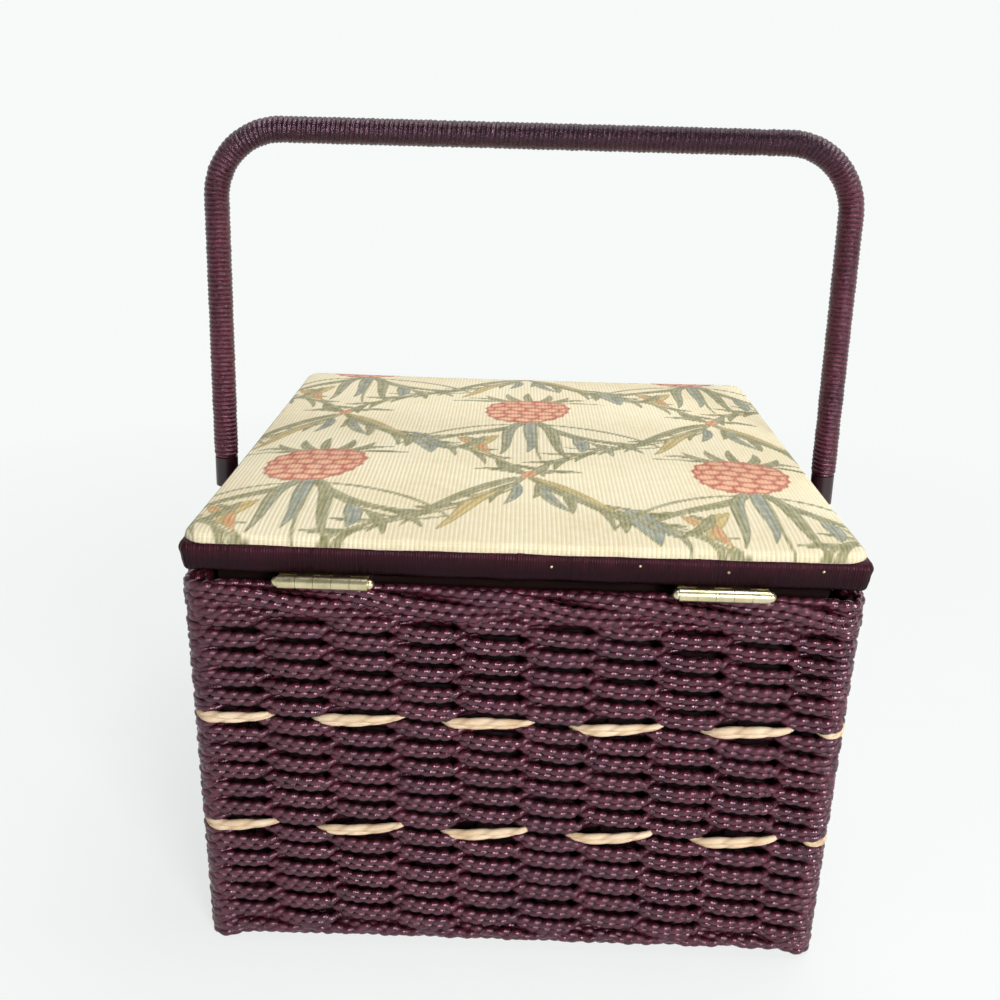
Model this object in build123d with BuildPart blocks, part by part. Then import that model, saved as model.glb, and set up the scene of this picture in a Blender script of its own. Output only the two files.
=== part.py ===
from build123d import *

import os
from math import atan, degrees, sqrt

os.makedirs("parts", exist_ok=True)

# A square sewing basket: cord woven round upright stakes, a padded lid on two
# butt hinges, and a wound bail handle that swings on the side walls.
# Millimetres. The basket stands on z = 0 with its middle on the z axis, the
# hinges are along the rear wall (-y) and the lid opens at the front (+y).

# ------------------------------------------------------------ driving sizes
# Woven wall
basket_width = 250.0  # left wall to right wall, outside
basket_depth = 250.0  # rear wall to front wall, outside
wall_height = 163.5  # floor to the top of the woven wall
columns_per_side = 10
course_count = 34
accent_courses = (11, 23)  # counted from the lowest course, which is 0
cord_thickness = 3.4  # across the wall
course_gap = 0.3  # between one course and the next
stake_thickness = 3.0
stake_width = 5.0
stake_clearance = 0.1  # stake to the cord that passes it
bottom_border_height = 9.0
top_border_height = 12.5
border_rounding = 2.4

# Carcass inside the weave
weave_clearance = 0.2  # weave to the carcass
panel_thickness = 2.5
post_size = 8.0
fit_gap = 0.2  # between neighbouring carcass parts
base_board_height = 2.0  # floor to the board's underside
base_board_thickness = 5.0
pad_clearance = 0.3
base_pad_thickness = 3.0
frame_bar_width = 6.0
ledge_width = 5.0
ledge_drop = 3.0  # ledge below the top of the frame

# Lift-out tray
tray_depth = 32.0
tray_wall = 1.8
tray_clearance = 0.4
tray_flange_thickness = 2.0
tray_corner_cut = 4.0
tray_front_share = 0.42  # share of the inside depth taken by the long front pocket

# Lid
lid_gap = 4.0  # top of the woven wall to the underside of the lid
rim_height = 11.8
rim_flare = 1.2  # the rim is this much further out at its top edge
rim_skin = 1.0  # thickness of the thread wound round the lid frame
lid_bar_width = 12.0
rebate_depth = 2.3  # seat for the lid board, below the top of the frame
rebate_wall = 2.2
lid_board_thickness = 2.8
padding_thickness = 3.3
padding_slope = 2.6  # the cover and its padding fall away by this much at the edge
cover_thickness = 0.8
lining_thickness = 3.0
lining_drop = 0.3
pocket_width = 150.0
pocket_depth = 46.0
pocket_thickness = 2.0
pocket_from_front = 22.0
pincushion_size = 60.0
pincushion_height = 8.0
pincushion_slope = 5.0
pincushion_from_rear = 72.0

# Butt hinges
hinge_spacing = 146.0
hinge_length = 33.0
hinge_leaf_thickness = 1.0
hinge_leaf_depth = 15.0
hinge_knuckle_diameter = 5.0
knuckle_clearance = 0.45  # knuckle to the edges of the wall and the lid
leaf_clearance = 0.2  # knuckle to the other leaf's plate
hinge_pin_diameter = 2.4
hinge_pin_end = 0.8  # riveted end, past the last knuckle
knuckle_count = 5
knuckle_gap = 0.15
running_clearance = 0.05  # on the radius

# Front tab and press stud
tab_width = 16.0
tab_thickness = 1.5
tab_hang = 17.0  # below the lid rim
tab_root = 10.0  # under the rim, back from the front wall
tab_gap = 0.4  # press stud to the tab, unfastened
stud_plate_diameter = 9.0
stud_plate_thickness = 0.8
stud_knob_diameter = 4.0
stud_knob_height = 1.6
cap_diameter = 11.0
cap_height = 1.6

# Bail handle
handle_out = 16.5  # leg centre beyond the wall, at the underside of the lid
handle_lean = 0.028  # the legs come in by this much for each millimetre up
handle_rise = 151.0  # underside of the lid to the middle of the crossbar
handle_diameter = 11.1
handle_bend_radius = 30.0
handle_winding_end = 3.5  # above the underside of the lid
rod_diameter = 4.0
rod_bend_radius = 7.0
rod_tail = 6.0  # past the inner face of the side panel
sleeve_diameter = 10.4
sleeve_length = 14.0
pivot_course = 32  # the rod passes below this course
grommet_barrel_diameter = 5.6
grommet_flange_diameter = 10.0
grommet_flange_thickness = 1.6
washer_diameter = 11.0
washer_thickness = 1.6

# ------------------------------------------------------------ worked-out sizes
half_width = basket_width / 2
half_depth = basket_depth / 2

# Weave: a cord passes `weave_reach` outside the wall's mid-plane at one stake
# and as far inside it at the next, so the wall is `weave_depth` thick.
weave_reach = (stake_thickness + cord_thickness) / 2 + stake_clearance
weave_depth = 2 * weave_reach + cord_thickness
weave_half_width = half_width - weave_depth / 2
weave_half_depth = half_depth - weave_depth / 2
weave_base = bottom_border_height
weave_top = wall_height - top_border_height
course_pitch = (weave_top - weave_base) / course_count
cord_height = course_pitch - course_gap
# Room that a course needs to turn a corner clear of the last stake.
corner_room = weave_depth + stake_width / 2
pitch_across = (basket_width - 2 * corner_room) / (columns_per_side - 1)
pitch_deep = (basket_depth - 2 * corner_room) / (columns_per_side - 1)
pivot_height = weave_base + pivot_course * course_pitch - course_gap / 2

carcass_half_width = half_width - weave_depth - weave_clearance
carcass_half_depth = half_depth - weave_depth - weave_clearance
base_top = base_board_height + base_board_thickness
panel_inner_x = carcass_half_width - panel_thickness
post_inner_x = carcass_half_width - post_size
post_inner_y = carcass_half_depth - post_size
frame_inner_x = carcass_half_width - frame_bar_width
frame_inner_y = carcass_half_depth - frame_bar_width
ledge_inner_x = frame_inner_x - ledge_width
ledge_inner_y = frame_inner_y - ledge_width
ledge_top = wall_height - ledge_drop

tray_half_width = ledge_inner_x - tray_clearance
tray_half_depth = ledge_inner_y - tray_clearance
tray_top = ledge_top + tray_flange_thickness
tray_bottom = tray_top - tray_depth

rim_bottom = wall_height + lid_gap
rim_top = rim_bottom + rim_height
rim_inner_x = half_width - lid_bar_width
rim_inner_y = half_depth - lid_bar_width
core_bottom = rim_bottom + rim_skin
core_top = rim_top - rim_skin
core_half_width = half_width - rim_skin
core_half_depth = half_depth - rim_skin
rebate_height = core_top - rebate_depth
cover_half_width = core_half_width - rebate_wall - pad_clearance
cover_half_depth = core_half_depth - rebate_wall - pad_clearance
board_half_width = cover_half_width - cover_thickness - pad_clearance
board_half_depth = cover_half_depth - cover_thickness - pad_clearance
board_top = rebate_height + lid_board_thickness
padding_base = board_top + pad_clearance
padding_top = padding_base + padding_thickness
cover_inner_top = padding_top + pad_clearance
cover_top = cover_inner_top + cover_thickness
lining_top = rebate_height - lining_drop
lining_bottom = lining_top - lining_thickness

# The axis stands so far behind the wall that the knuckle clears the edges above
# and below the gap.
knuckle_radius = hinge_knuckle_diameter / 2
hinge_axis_y = -half_depth - sqrt((knuckle_radius + knuckle_clearance) ** 2 - (lid_gap / 2) ** 2)
hinge_axis_z = wall_height + lid_gap / 2
knuckle_pitch = hinge_length / knuckle_count
hinge_pin_radius = hinge_pin_diameter / 2

stud_height = stud_plate_thickness + stud_knob_height
stud_z = weave_top + top_border_height / 2
tab_inner_y = half_depth + stud_height + tab_gap
tab_outer_y = tab_inner_y + tab_thickness

crossbar_height = rim_bottom + handle_rise
winding_base = rim_bottom + handle_winding_end
rod_top = winding_base - running_clearance
handle_radius = handle_diameter / 2
rod_radius = rod_diameter / 2
rod_hole_radius = rod_radius + running_clearance
grommet_barrel_radius = grommet_barrel_diameter / 2
grommet_flange_radius = grommet_flange_diameter / 2
grommet_notch = grommet_barrel_diameter + 2 * stake_clearance
# At the pivot the cords cross the wall's mid-plane on their way out to the next
# stake, so the grommet's flange stands clear of where they are at its edge.
slope_deep = 2 * weave_reach / pitch_deep
weave_face_at_flange = weave_half_width + cord_thickness / 2 + grommet_flange_radius * slope_deep
flange_back = weave_face_at_flange + stake_clearance


# ------------------------------------------------------------ helpers
def save(part, name):
    """Label a finished piece and write it to its own STEP file."""
    part.part.label = name
    export_step(part.part, f"parts/{name}.step")


def ring(outer_x, outer_y, inner_x, inner_y, base, height):
    """Upright rectangular ring, given by its half sizes outside and inside."""
    with BuildSketch(Plane.XY.offset(base)) as plan:
        Rectangle(2 * outer_x, 2 * outer_y)
        Rectangle(2 * inner_x, 2 * inner_y, mode=Mode.SUBTRACT)
    extrude(plan.sketch, amount=height)


def mitre(half_x, half_y):
    """Part a ring into four bars along the lines from its middle to its corners."""
    for sign in (1, -1):
        split(bisect_by=Plane(origin=(0, 0, 0), x_dir=(0, 0, 1), z_dir=(half_y, sign * half_x, 0)),
              keep=Keep.BOTH)


def block(half_x, half_y, base, height):
    """Plain slab centred on the z axis."""
    with BuildSketch(Plane.XY.offset(base)) as plan:
        Rectangle(2 * half_x, 2 * half_y)
    extrude(plan.sketch, amount=height)


def wall_point(side, along, out):
    """Plan point `along` a wall from its middle and `out` from the weave's mid-plane.

    Sides run rear, right, front, left, as someone walks round the basket.
    """
    reach_x = weave_half_width + out
    reach_y = weave_half_depth + out
    return ((along, -reach_y), (reach_x, along), (-along, reach_y), (-reach_x, -along))[side]


def stake_pitch(side):
    """Distance between neighbouring stakes of a wall."""
    return pitch_across if side % 2 == 0 else pitch_deep


def stake_positions(side):
    """Distances of the stakes along a wall, from its middle."""
    middle = (columns_per_side - 1) / 2
    return [(column - middle) * stake_pitch(side) for column in range(columns_per_side)]


def cord_slope(side):
    """How fast a cord moves out of or into the wall between two stakes."""
    return 2 * weave_reach / stake_pitch(side)


def bar_along(route, radius):
    """Round bar: an extrusion for each straight run, a revolution for each bend."""
    for edge in route.edges():
        with BuildSketch(Plane(origin=edge @ 0, z_dir=edge % 0)) as section:
            Circle(radius)
        if edge.geom_type == GeomType.LINE:
            extrude(section.sketch, amount=edge.length)
        else:
            spoke = edge @ 0 - edge.arc_center
            bend_axis = Axis(edge.arc_center, spoke.cross(edge % 0))
            revolve(section.sketch, axis=bend_axis, revolution_arc=degrees(edge.length / edge.radius))


def leg_x(height):
    """Distance of a handle leg from the basket's middle, at a height."""
    return half_width + handle_out + handle_lean * (rim_bottom - height)


# ------------------------------------------------------------ woven wall
def course_corner(side, hand, face):
    """Plan point where a course turns onto the next side, straight on from both stakes.

    `hand` is 1 when it passed outside this side's last stake, and so comes round
    to pass inside the next side's first one, and -1 the other way about.
    """
    across = weave_half_width if side % 2 == 0 else weave_half_depth
    deep = weave_half_depth if side % 2 == 0 else weave_half_width
    last = stake_positions(side)[-1]
    to_next_wall = across - hand * weave_reach + face - last
    to_this_wall = deep + hand * weave_reach + face - stake_positions(side + 1)[-1]
    here, following = cord_slope(side), cord_slope(side + 1)
    run = (to_next_wall + hand * following * to_this_wall) / (1 + here * following)
    return wall_point(side, last + run, hand * (weave_reach - here * run) + face)


def course_outline(course, face):
    """Plan outline of one face of a course: out over one stake, in behind the next.

    Odd courses pass outside the first, third, fifth ... stake of every side and
    even courses outside the others, so neighbouring courses cross between stakes.
    """
    points = []
    for side in range(4):
        for column, along in enumerate(stake_positions(side)):
            hand = 1 if (column + course) % 2 == 1 else -1
            points.append(wall_point(side, along, hand * weave_reach + face))
        points.append(course_corner(side, hand, face))
    return points


def weave_courses(courses):
    """Closed rings of cord, one above the other."""
    for course in courses:
        with BuildSketch(Plane.XY.offset(weave_base + course * course_pitch)) as plan:
            with BuildLine():
                Polyline(*course_outline(course, cord_thickness / 2), close=True)
            make_face()
            with BuildLine():
                Polyline(*course_outline(course, -cord_thickness / 2), close=True)
            make_face(mode=Mode.SUBTRACT)
        extrude(plan.sketch, amount=cord_height)


def build_weave():
    low_accent, high_accent = accent_courses
    with BuildPart() as weave_lower:
        weave_courses(range(0, low_accent))
    save(weave_lower, "weave_lower")

    with BuildPart() as accent_course_lower:
        weave_courses([low_accent])
    save(accent_course_lower, "accent_course_lower")

    with BuildPart() as weave_middle:
        weave_courses(range(low_accent + 1, high_accent))
    save(weave_middle, "weave_middle")

    with BuildPart() as accent_course_upper:
        weave_courses([high_accent])
    save(accent_course_upper, "accent_course_upper")

    # The cords above and below the handle's pivots part round the grommets.
    with BuildPart() as weave_upper:
        weave_courses(range(high_accent + 1, course_count))
        with Locations((-weave_half_width, 0, pivot_height), (weave_half_width, 0, pivot_height)):
            Box(2 * weave_depth, grommet_notch, grommet_notch, mode=Mode.SUBTRACT)
    save(weave_upper, "weave_upper")


def build_stakes():
    """Flat reeds whose crowned faces lie along the cords that bend round them."""
    with BuildPart() as stakes:
        with BuildSketch(Plane.XY.offset(weave_base)):
            for side in range(4):
                edge = (stake_thickness - cord_slope(side) * stake_width) / 2
                outline = [
                    (0, stake_thickness / 2),
                    (stake_width / 2, edge),
                    (stake_width / 2, -edge),
                    (0, -stake_thickness / 2),
                    (-stake_width / 2, -edge),
                    (-stake_width / 2, edge),
                ]
                for along in stake_positions(side):
                    with Locations(Location((*wall_point(side, along, 0), 0), (0, 0, 90 * side))):
                        Polygon(*outline)
        extrude(amount=weave_top - weave_base)
    save(stakes, "stakes")


def build_borders():
    """Wound borders along the foot and the top of the wall, eased along their outer edges."""
    for name, base, height in (
        ("bottom_border", 0, bottom_border_height),
        ("top_border", weave_top, top_border_height),
    ):
        with BuildPart() as border:
            ring(half_width, half_depth, half_width - weave_depth, half_depth - weave_depth,
                 base, height)
            upright_faces = border.faces().filter_by(Axis.Z, reverse=True)
            outer_faces = upright_faces.sort_by(lambda face: face.area)[-4:]
            chamfer(outer_faces.edges().filter_by(Plane.XY), border_rounding)
        save(border, name)


# ------------------------------------------------------------ carcass
def build_carcass():
    with BuildPart() as base_board:
        block(carcass_half_width, carcass_half_depth, base_board_height, base_board_thickness)
    save(base_board, "base_board")

    panel_height = weave_top - base_top
    with BuildPart() as corner_posts:
        with BuildSketch(Plane.XY.offset(base_top)):
            with GridLocations(
                2 * carcass_half_width - post_size, 2 * carcass_half_depth - post_size, 2, 2
            ):
                Rectangle(post_size, post_size)
        extrude(amount=panel_height)
    save(corner_posts, "corner_posts")

    for name, sign in (("rear_panel", -1), ("front_panel", 1)):
        middle = sign * (carcass_half_depth - panel_thickness / 2)
        with BuildPart() as panel:
            with BuildSketch(Plane.XY.offset(base_top)):
                with Locations((0, middle)):
                    Rectangle(2 * (post_inner_x - fit_gap), panel_thickness)
            extrude(amount=panel_height)
        save(panel, name)

    for name, sign in (("left_panel", -1), ("right_panel", 1)):
        middle = sign * (carcass_half_width - panel_thickness / 2)
        with BuildPart() as panel:
            with BuildSketch(Plane.XY.offset(base_top)):
                with Locations((middle, 0)):
                    Rectangle(panel_thickness, 2 * (post_inner_y - fit_gap))
            extrude(amount=panel_height)
            with BuildSketch(Plane.YZ.offset(middle)):
                with Locations((0, pivot_height)):
                    Circle(grommet_barrel_radius + running_clearance)
            extrude(amount=panel_thickness, both=True, mode=Mode.SUBTRACT)
        save(panel, name)

    with BuildPart() as top_frame:
        ring(carcass_half_width, carcass_half_depth, frame_inner_x, frame_inner_y,
             weave_top, top_border_height)
        mitre(carcass_half_width, carcass_half_depth)
    save(top_frame, "top_frame")

    with BuildPart() as tray_ledge:
        ring(frame_inner_x, frame_inner_y, ledge_inner_x, ledge_inner_y,
             weave_top, ledge_top - weave_top)
        mitre(frame_inner_x, frame_inner_y)
    save(tray_ledge, "tray_ledge")

    with BuildPart() as base_pad:
        block(post_inner_x - pad_clearance, post_inner_y - pad_clearance,
              base_top + pad_clearance, base_pad_thickness)
        top_edges = base_pad.faces().sort_by(Axis.Z)[-1].edges()
        chamfer(top_edges, base_pad_thickness / 3)
    save(base_pad, "base_pad")


def build_tray():
    """Moulded tray: one long pocket at the front and three short ones behind it."""
    inside_x = tray_half_width - tray_wall
    inside_y = tray_half_depth - tray_wall
    front_depth = 2 * inside_y * tray_front_share
    rear_depth = 2 * inside_y - front_depth - tray_wall
    rear_width = (2 * inside_x - 2 * tray_wall) / 3
    pocket_floor = tray_bottom + tray_wall
    flange_x = frame_inner_x - tray_clearance
    flange_y = frame_inner_y - tray_clearance
    pocket_cut = tray_corner_cut - tray_wall
    with BuildPart() as notions_tray:
        block(tray_half_width, tray_half_depth, tray_bottom, tray_depth)
        chamfer(notions_tray.edges().filter_by(Axis.Z), tray_corner_cut)
        with BuildSketch(Plane.XY.offset(ledge_top)) as flange:
            Rectangle(2 * flange_x, 2 * flange_y)
            chamfer(flange.vertices(), tray_corner_cut)
        extrude(amount=tray_flange_thickness)
        with BuildSketch(Plane.XY.offset(pocket_floor)) as pockets:
            with Locations((0, inside_y - front_depth / 2)):
                Rectangle(2 * inside_x, front_depth)
            with Locations((0, -inside_y + rear_depth / 2)):
                with GridLocations(rear_width + tray_wall, 0, 3, 1):
                    Rectangle(rear_width, rear_depth)
            chamfer(pockets.vertices(), pocket_cut)
        extrude(amount=tray_depth, mode=Mode.SUBTRACT)
    save(notions_tray, "notions_tray")


# ------------------------------------------------------------ lid
def build_lid():
    with BuildPart() as lid_frame:
        ring(core_half_width, core_half_depth, rim_inner_x, rim_inner_y,
             core_bottom, rebate_height - core_bottom)
        ring(core_half_width, core_half_depth, core_half_width - rebate_wall,
             core_half_depth - rebate_wall, rebate_height, rebate_depth)
        mitre(core_half_width, core_half_depth)
    save(lid_frame, "lid_frame")

    # Thread wound round the frame: a skin over its outer face, top and underside.
    flare_angle = degrees(atan(rim_flare / rim_height))
    with BuildPart() as rim_wrap:
        with BuildSketch(Plane.XY.offset(rim_bottom)):
            Rectangle(basket_width, basket_depth)
        extrude(amount=rim_height, taper=-flare_angle)
        with BuildSketch(Plane.XY.offset(rim_bottom)):
            Rectangle(2 * rim_inner_x, 2 * rim_inner_y)
        extrude(amount=rim_height, mode=Mode.SUBTRACT)
        with BuildSketch(Plane.XY.offset(core_bottom)):
            Rectangle(2 * core_half_width, 2 * core_half_depth)
        extrude(amount=core_top - core_bottom, mode=Mode.SUBTRACT)
        with BuildSketch(Plane.XY.offset(core_top)):
            Rectangle(2 * (core_half_width - rebate_wall), 2 * (core_half_depth - rebate_wall))
        extrude(amount=rim_skin, mode=Mode.SUBTRACT)
    save(rim_wrap, "rim_wrap")

    with BuildPart() as lid_board:
        block(board_half_width, board_half_depth, rebate_height, lid_board_thickness)
    save(lid_board, "lid_board")

    with BuildPart() as lid_padding:
        block(board_half_width, board_half_depth, padding_base, padding_thickness)
        chamfer(lid_padding.faces().sort_by(Axis.Z)[-1].edges(), padding_slope)
    save(lid_padding, "lid_padding")

    # The cover is drawn over the padding and down round the edges of the board.
    with BuildPart() as padded_board:
        block(cover_half_width - cover_thickness, cover_half_depth - cover_thickness,
              rebate_height, cover_inner_top - rebate_height)
        chamfer(padded_board.faces().sort_by(Axis.Z)[-1].edges(), padding_slope)
    with BuildPart() as tapestry_cover:
        block(cover_half_width, cover_half_depth, rebate_height, cover_top - rebate_height)
        chamfer(tapestry_cover.faces().sort_by(Axis.Z)[-1].edges(), padding_slope)
        add(padded_board.part, mode=Mode.SUBTRACT)
    save(tapestry_cover, "tapestry_cover")

    with BuildPart() as lid_lining:
        block(rim_inner_x - pad_clearance, rim_inner_y - pad_clearance,
              lining_bottom, lining_thickness)
    save(lid_lining, "lid_lining")

    pocket_top = lining_bottom - pad_clearance
    with BuildPart() as lid_pocket:
        with BuildSketch(Plane.XY.offset(pocket_top - pocket_thickness)):
            with Locations((0, rim_inner_y - pocket_from_front - pocket_depth / 2)):
                Rectangle(pocket_width, pocket_depth)
        extrude(amount=pocket_thickness)
        chamfer(lid_pocket.faces().sort_by(Axis.Z)[0].edges(), pocket_thickness / 2)
    save(lid_pocket, "lid_pocket")

    cushion_y = -rim_inner_y + pincushion_from_rear
    with BuildPart() as pincushion:
        with BuildSketch(Plane.XY.offset(pocket_top - pincushion_height)):
            with Locations((0, cushion_y)):
                Rectangle(pincushion_size, pincushion_size)
        extrude(amount=pincushion_height)
        chamfer(pincushion.faces().sort_by(Axis.Z)[0].edges(), pincushion_slope)
    save(pincushion, "pincushion")


# ------------------------------------------------------------ hinges
def leaf_and_knuckles(centre_x, first_knuckle, leaf_z, bore_radius):
    """One leaf with every second knuckle, from `first_knuckle` on."""
    plate_y = hinge_axis_y + knuckle_radius + leaf_clearance
    leaf_end_y = -half_depth + hinge_leaf_depth
    left_x = centre_x - hinge_length / 2
    with BuildSketch(Plane.XY.offset(leaf_z)) as plate:
        with Locations((centre_x, (plate_y + leaf_end_y) / 2)):
            Rectangle(hinge_length, leaf_end_y - plate_y)
    extrude(plate.sketch, amount=hinge_leaf_thickness)
    for knuckle in range(first_knuckle, knuckle_count, 2):
        start_x = left_x + knuckle * knuckle_pitch + knuckle_gap / 2
        with BuildSketch(Plane.YZ.offset(start_x)) as knuckle_end:
            with Locations((hinge_axis_y, hinge_axis_z)):
                Circle(knuckle_radius)
            neck = plate_y - hinge_axis_y
            with Locations((hinge_axis_y + neck / 2, leaf_z + hinge_leaf_thickness / 2)):
                Rectangle(neck, hinge_leaf_thickness)
            if bore_radius:
                with Locations((hinge_axis_y, hinge_axis_z)):
                    Circle(bore_radius, mode=Mode.SUBTRACT)
        extrude(knuckle_end.sketch, amount=knuckle_pitch - knuckle_gap)


def build_hinges():
    """Two hinges: the pin is riveted into the lower leaf and turns in the upper one."""
    pin_length = hinge_length + 2 * hinge_pin_end
    for name, centre_x in (("left", -hinge_spacing / 2), ("right", hinge_spacing / 2)):
        with BuildPart() as lower_leaf:
            leaf_and_knuckles(centre_x, 0, wall_height, 0)
            with BuildSketch(Plane.YZ.offset(centre_x - pin_length / 2)):
                with Locations((hinge_axis_y, hinge_axis_z)):
                    Circle(hinge_pin_radius)
            extrude(amount=pin_length)
        save(lower_leaf, f"{name}_hinge_lower_leaf")

        with BuildPart() as upper_leaf:
            leaf_z = rim_bottom - hinge_leaf_thickness
            leaf_and_knuckles(centre_x, 1, leaf_z, hinge_pin_radius + running_clearance)
        save(upper_leaf, f"{name}_hinge_upper_leaf")


# ------------------------------------------------------------ front tab
def build_front_tab():
    with BuildPart() as closure_tab:
        with BuildSketch(Plane.YZ):
            with BuildLine():
                Polyline(
                    (half_depth - tab_root, rim_bottom),
                    (tab_outer_y, rim_bottom),
                    (tab_outer_y, rim_bottom - tab_hang),
                    (tab_inner_y, rim_bottom - tab_hang),
                    (tab_inner_y, rim_bottom - tab_thickness),
                    (half_depth - tab_root, rim_bottom - tab_thickness),
                    close=True,
                )
            make_face()
        extrude(amount=tab_width / 2, both=True)
        lower_corners = closure_tab.edges().filter_by(Axis.Y).group_by(Axis.Z)[0]
        fillet(lower_corners, tab_width / 2 - stake_clearance)
    save(closure_tab, "closure_tab")

    stud_plane = Plane(origin=(0, half_depth, stud_z), x_dir=(1, 0, 0), z_dir=(0, 1, 0))
    with BuildPart() as snap_stud:
        with BuildSketch(stud_plane):
            Circle(stud_plate_diameter / 2)
        extrude(amount=stud_plate_thickness)
        with BuildSketch(stud_plane.offset(stud_plate_thickness)):
            Circle(stud_knob_diameter / 2)
        extrude(amount=stud_knob_height)
    save(snap_stud, "snap_stud")

    with BuildPart() as snap_cap:
        with BuildSketch(stud_plane.offset(tab_outer_y - half_depth)):
            Circle(cap_diameter / 2)
        extrude(amount=cap_height)
    save(snap_cap, "snap_cap")


# ------------------------------------------------------------ bail handle
def handle_route(foot):
    """The corners of the bail, from a foot height up, across and down again."""
    return [
        (-leg_x(foot), foot),
        (-leg_x(crossbar_height), crossbar_height),
        (leg_x(crossbar_height), crossbar_height),
        (leg_x(foot), foot),
    ]


def build_handle():
    # The winding goes round a core along its whole length; the two are one solid.
    with BuildPart() as handle_bail:
        with BuildLine(Plane.XZ):
            route = FilletPolyline(*handle_route(winding_base), radius=handle_bend_radius)
        bar_along(route, handle_radius)
    save(handle_bail, "handle_bail")

    tail_x = panel_inner_x - rod_tail
    with BuildPart() as pivot_rods:
        for sign in (-1, 1):
            with BuildLine(Plane.XZ):
                route = FilletPolyline(
                    (sign * tail_x, pivot_height),
                    (sign * leg_x(pivot_height), pivot_height),
                    (sign * leg_x(rod_top), rod_top),
                    radius=rod_bend_radius,
                )
            bar_along(route, rod_radius)
    save(pivot_rods, "pivot_rods")

    with BuildPart() as end_sleeves:
        for sign in (-1, 1):
            leg_plane = Plane(
                origin=(sign * leg_x(winding_base), 0, winding_base),
                x_dir=(0, 1, 0),
                z_dir=(sign * handle_lean, 0, -1),
            )
            with BuildSketch(leg_plane):
                Circle(sleeve_diameter / 2)
                Circle(rod_hole_radius, mode=Mode.SUBTRACT)
            extrude(amount=sleeve_length)
    save(end_sleeves, "end_sleeves")

    with BuildPart() as wall_grommets:
        for sign in (-1, 1):
            outward = Plane(origin=(0, 0, pivot_height), x_dir=(0, 1, 0), z_dir=(sign, 0, 0))
            with BuildSketch(outward.offset(panel_inner_x)):
                Circle(grommet_barrel_radius)
                Circle(rod_hole_radius, mode=Mode.SUBTRACT)
            extrude(amount=flange_back - panel_inner_x)
            with BuildSketch(outward.offset(flange_back)):
                Circle(grommet_flange_radius)
                Circle(rod_hole_radius, mode=Mode.SUBTRACT)
            extrude(amount=grommet_flange_thickness)
    save(wall_grommets, "wall_grommets")

    with BuildPart() as retaining_washers:
        for sign in (-1, 1):
            inward = Plane(origin=(0, 0, pivot_height), x_dir=(0, 1, 0), z_dir=(-sign, 0, 0))
            with BuildSketch(inward.offset(-(panel_inner_x - pad_clearance))):
                Circle(washer_diameter / 2)
                Circle(rod_hole_radius, mode=Mode.SUBTRACT)
            extrude(amount=washer_thickness)
    save(retaining_washers, "retaining_washers")


build_weave()
build_stakes()
build_borders()
build_carcass()
build_tray()
build_lid()
build_hinges()
build_front_tab()
build_handle()
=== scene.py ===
import math

import bmesh
import bpy
import numpy as np
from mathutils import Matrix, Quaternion, Vector
from mathutils.bvhtree import BVHTree


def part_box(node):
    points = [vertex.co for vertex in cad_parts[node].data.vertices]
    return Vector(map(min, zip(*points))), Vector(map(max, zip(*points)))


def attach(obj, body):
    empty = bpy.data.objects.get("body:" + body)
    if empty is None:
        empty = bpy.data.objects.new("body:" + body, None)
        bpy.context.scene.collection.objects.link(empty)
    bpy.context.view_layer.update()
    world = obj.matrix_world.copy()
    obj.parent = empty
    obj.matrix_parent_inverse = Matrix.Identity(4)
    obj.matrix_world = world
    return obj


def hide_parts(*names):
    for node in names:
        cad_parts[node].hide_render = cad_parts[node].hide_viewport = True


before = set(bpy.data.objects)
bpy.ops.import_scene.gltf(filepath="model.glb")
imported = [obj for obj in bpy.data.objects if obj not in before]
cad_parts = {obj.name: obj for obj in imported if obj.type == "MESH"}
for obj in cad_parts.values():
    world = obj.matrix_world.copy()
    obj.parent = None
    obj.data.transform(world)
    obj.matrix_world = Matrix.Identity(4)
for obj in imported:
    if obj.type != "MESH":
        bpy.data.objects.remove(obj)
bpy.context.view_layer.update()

MM = 0.001
TAU = 2 * math.pi

# ------------------------------------------------------------ sizes taken from the frame
FLOOR_LOW, FLOOR_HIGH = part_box("bottom_border")
BORDER_LOW, BORDER_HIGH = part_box("top_border")
STAKES_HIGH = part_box("stakes")[1]
RIM_LOW, RIM_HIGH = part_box("rim_wrap")
COVER_LOW, COVER_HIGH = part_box("tapestry_cover")
FOAM_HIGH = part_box("lid_padding")[1]
BAIL_LOW, BAIL_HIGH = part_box("handle_bail")
PANEL_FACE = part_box("front_panel")[1].y  # outer face of the lining boards

COLUMNS = 10  # stakes along each wall
COURSES = 34  # rows of weaving
ACCENTS = (11, 23)  # the two pale courses, counted from the lowest
STAKE_THICKNESS = 3.0 * MM
WALL_SWELL = 2.0 * MM  # how far the weaving's mid-plane lies outside that of the stakes
WALL_HALF = STAKES_HIGH.x - STAKE_THICKNESS / 2 + WALL_SWELL  # mid-plane of the woven wall
WEAVE_BASE = FLOOR_HIGH.z
WEAVE_TOP = BORDER_LOW.z
COURSE_PITCH = (WEAVE_TOP - WEAVE_BASE) / COURSES
CORNER_ROOM = 12.5 * MM  # last stake to the outer face of the next wall
LAST_STAKE = FLOOR_HIGH.x - CORNER_ROOM
CORNER_RADIUS = 5.0 * MM

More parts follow.
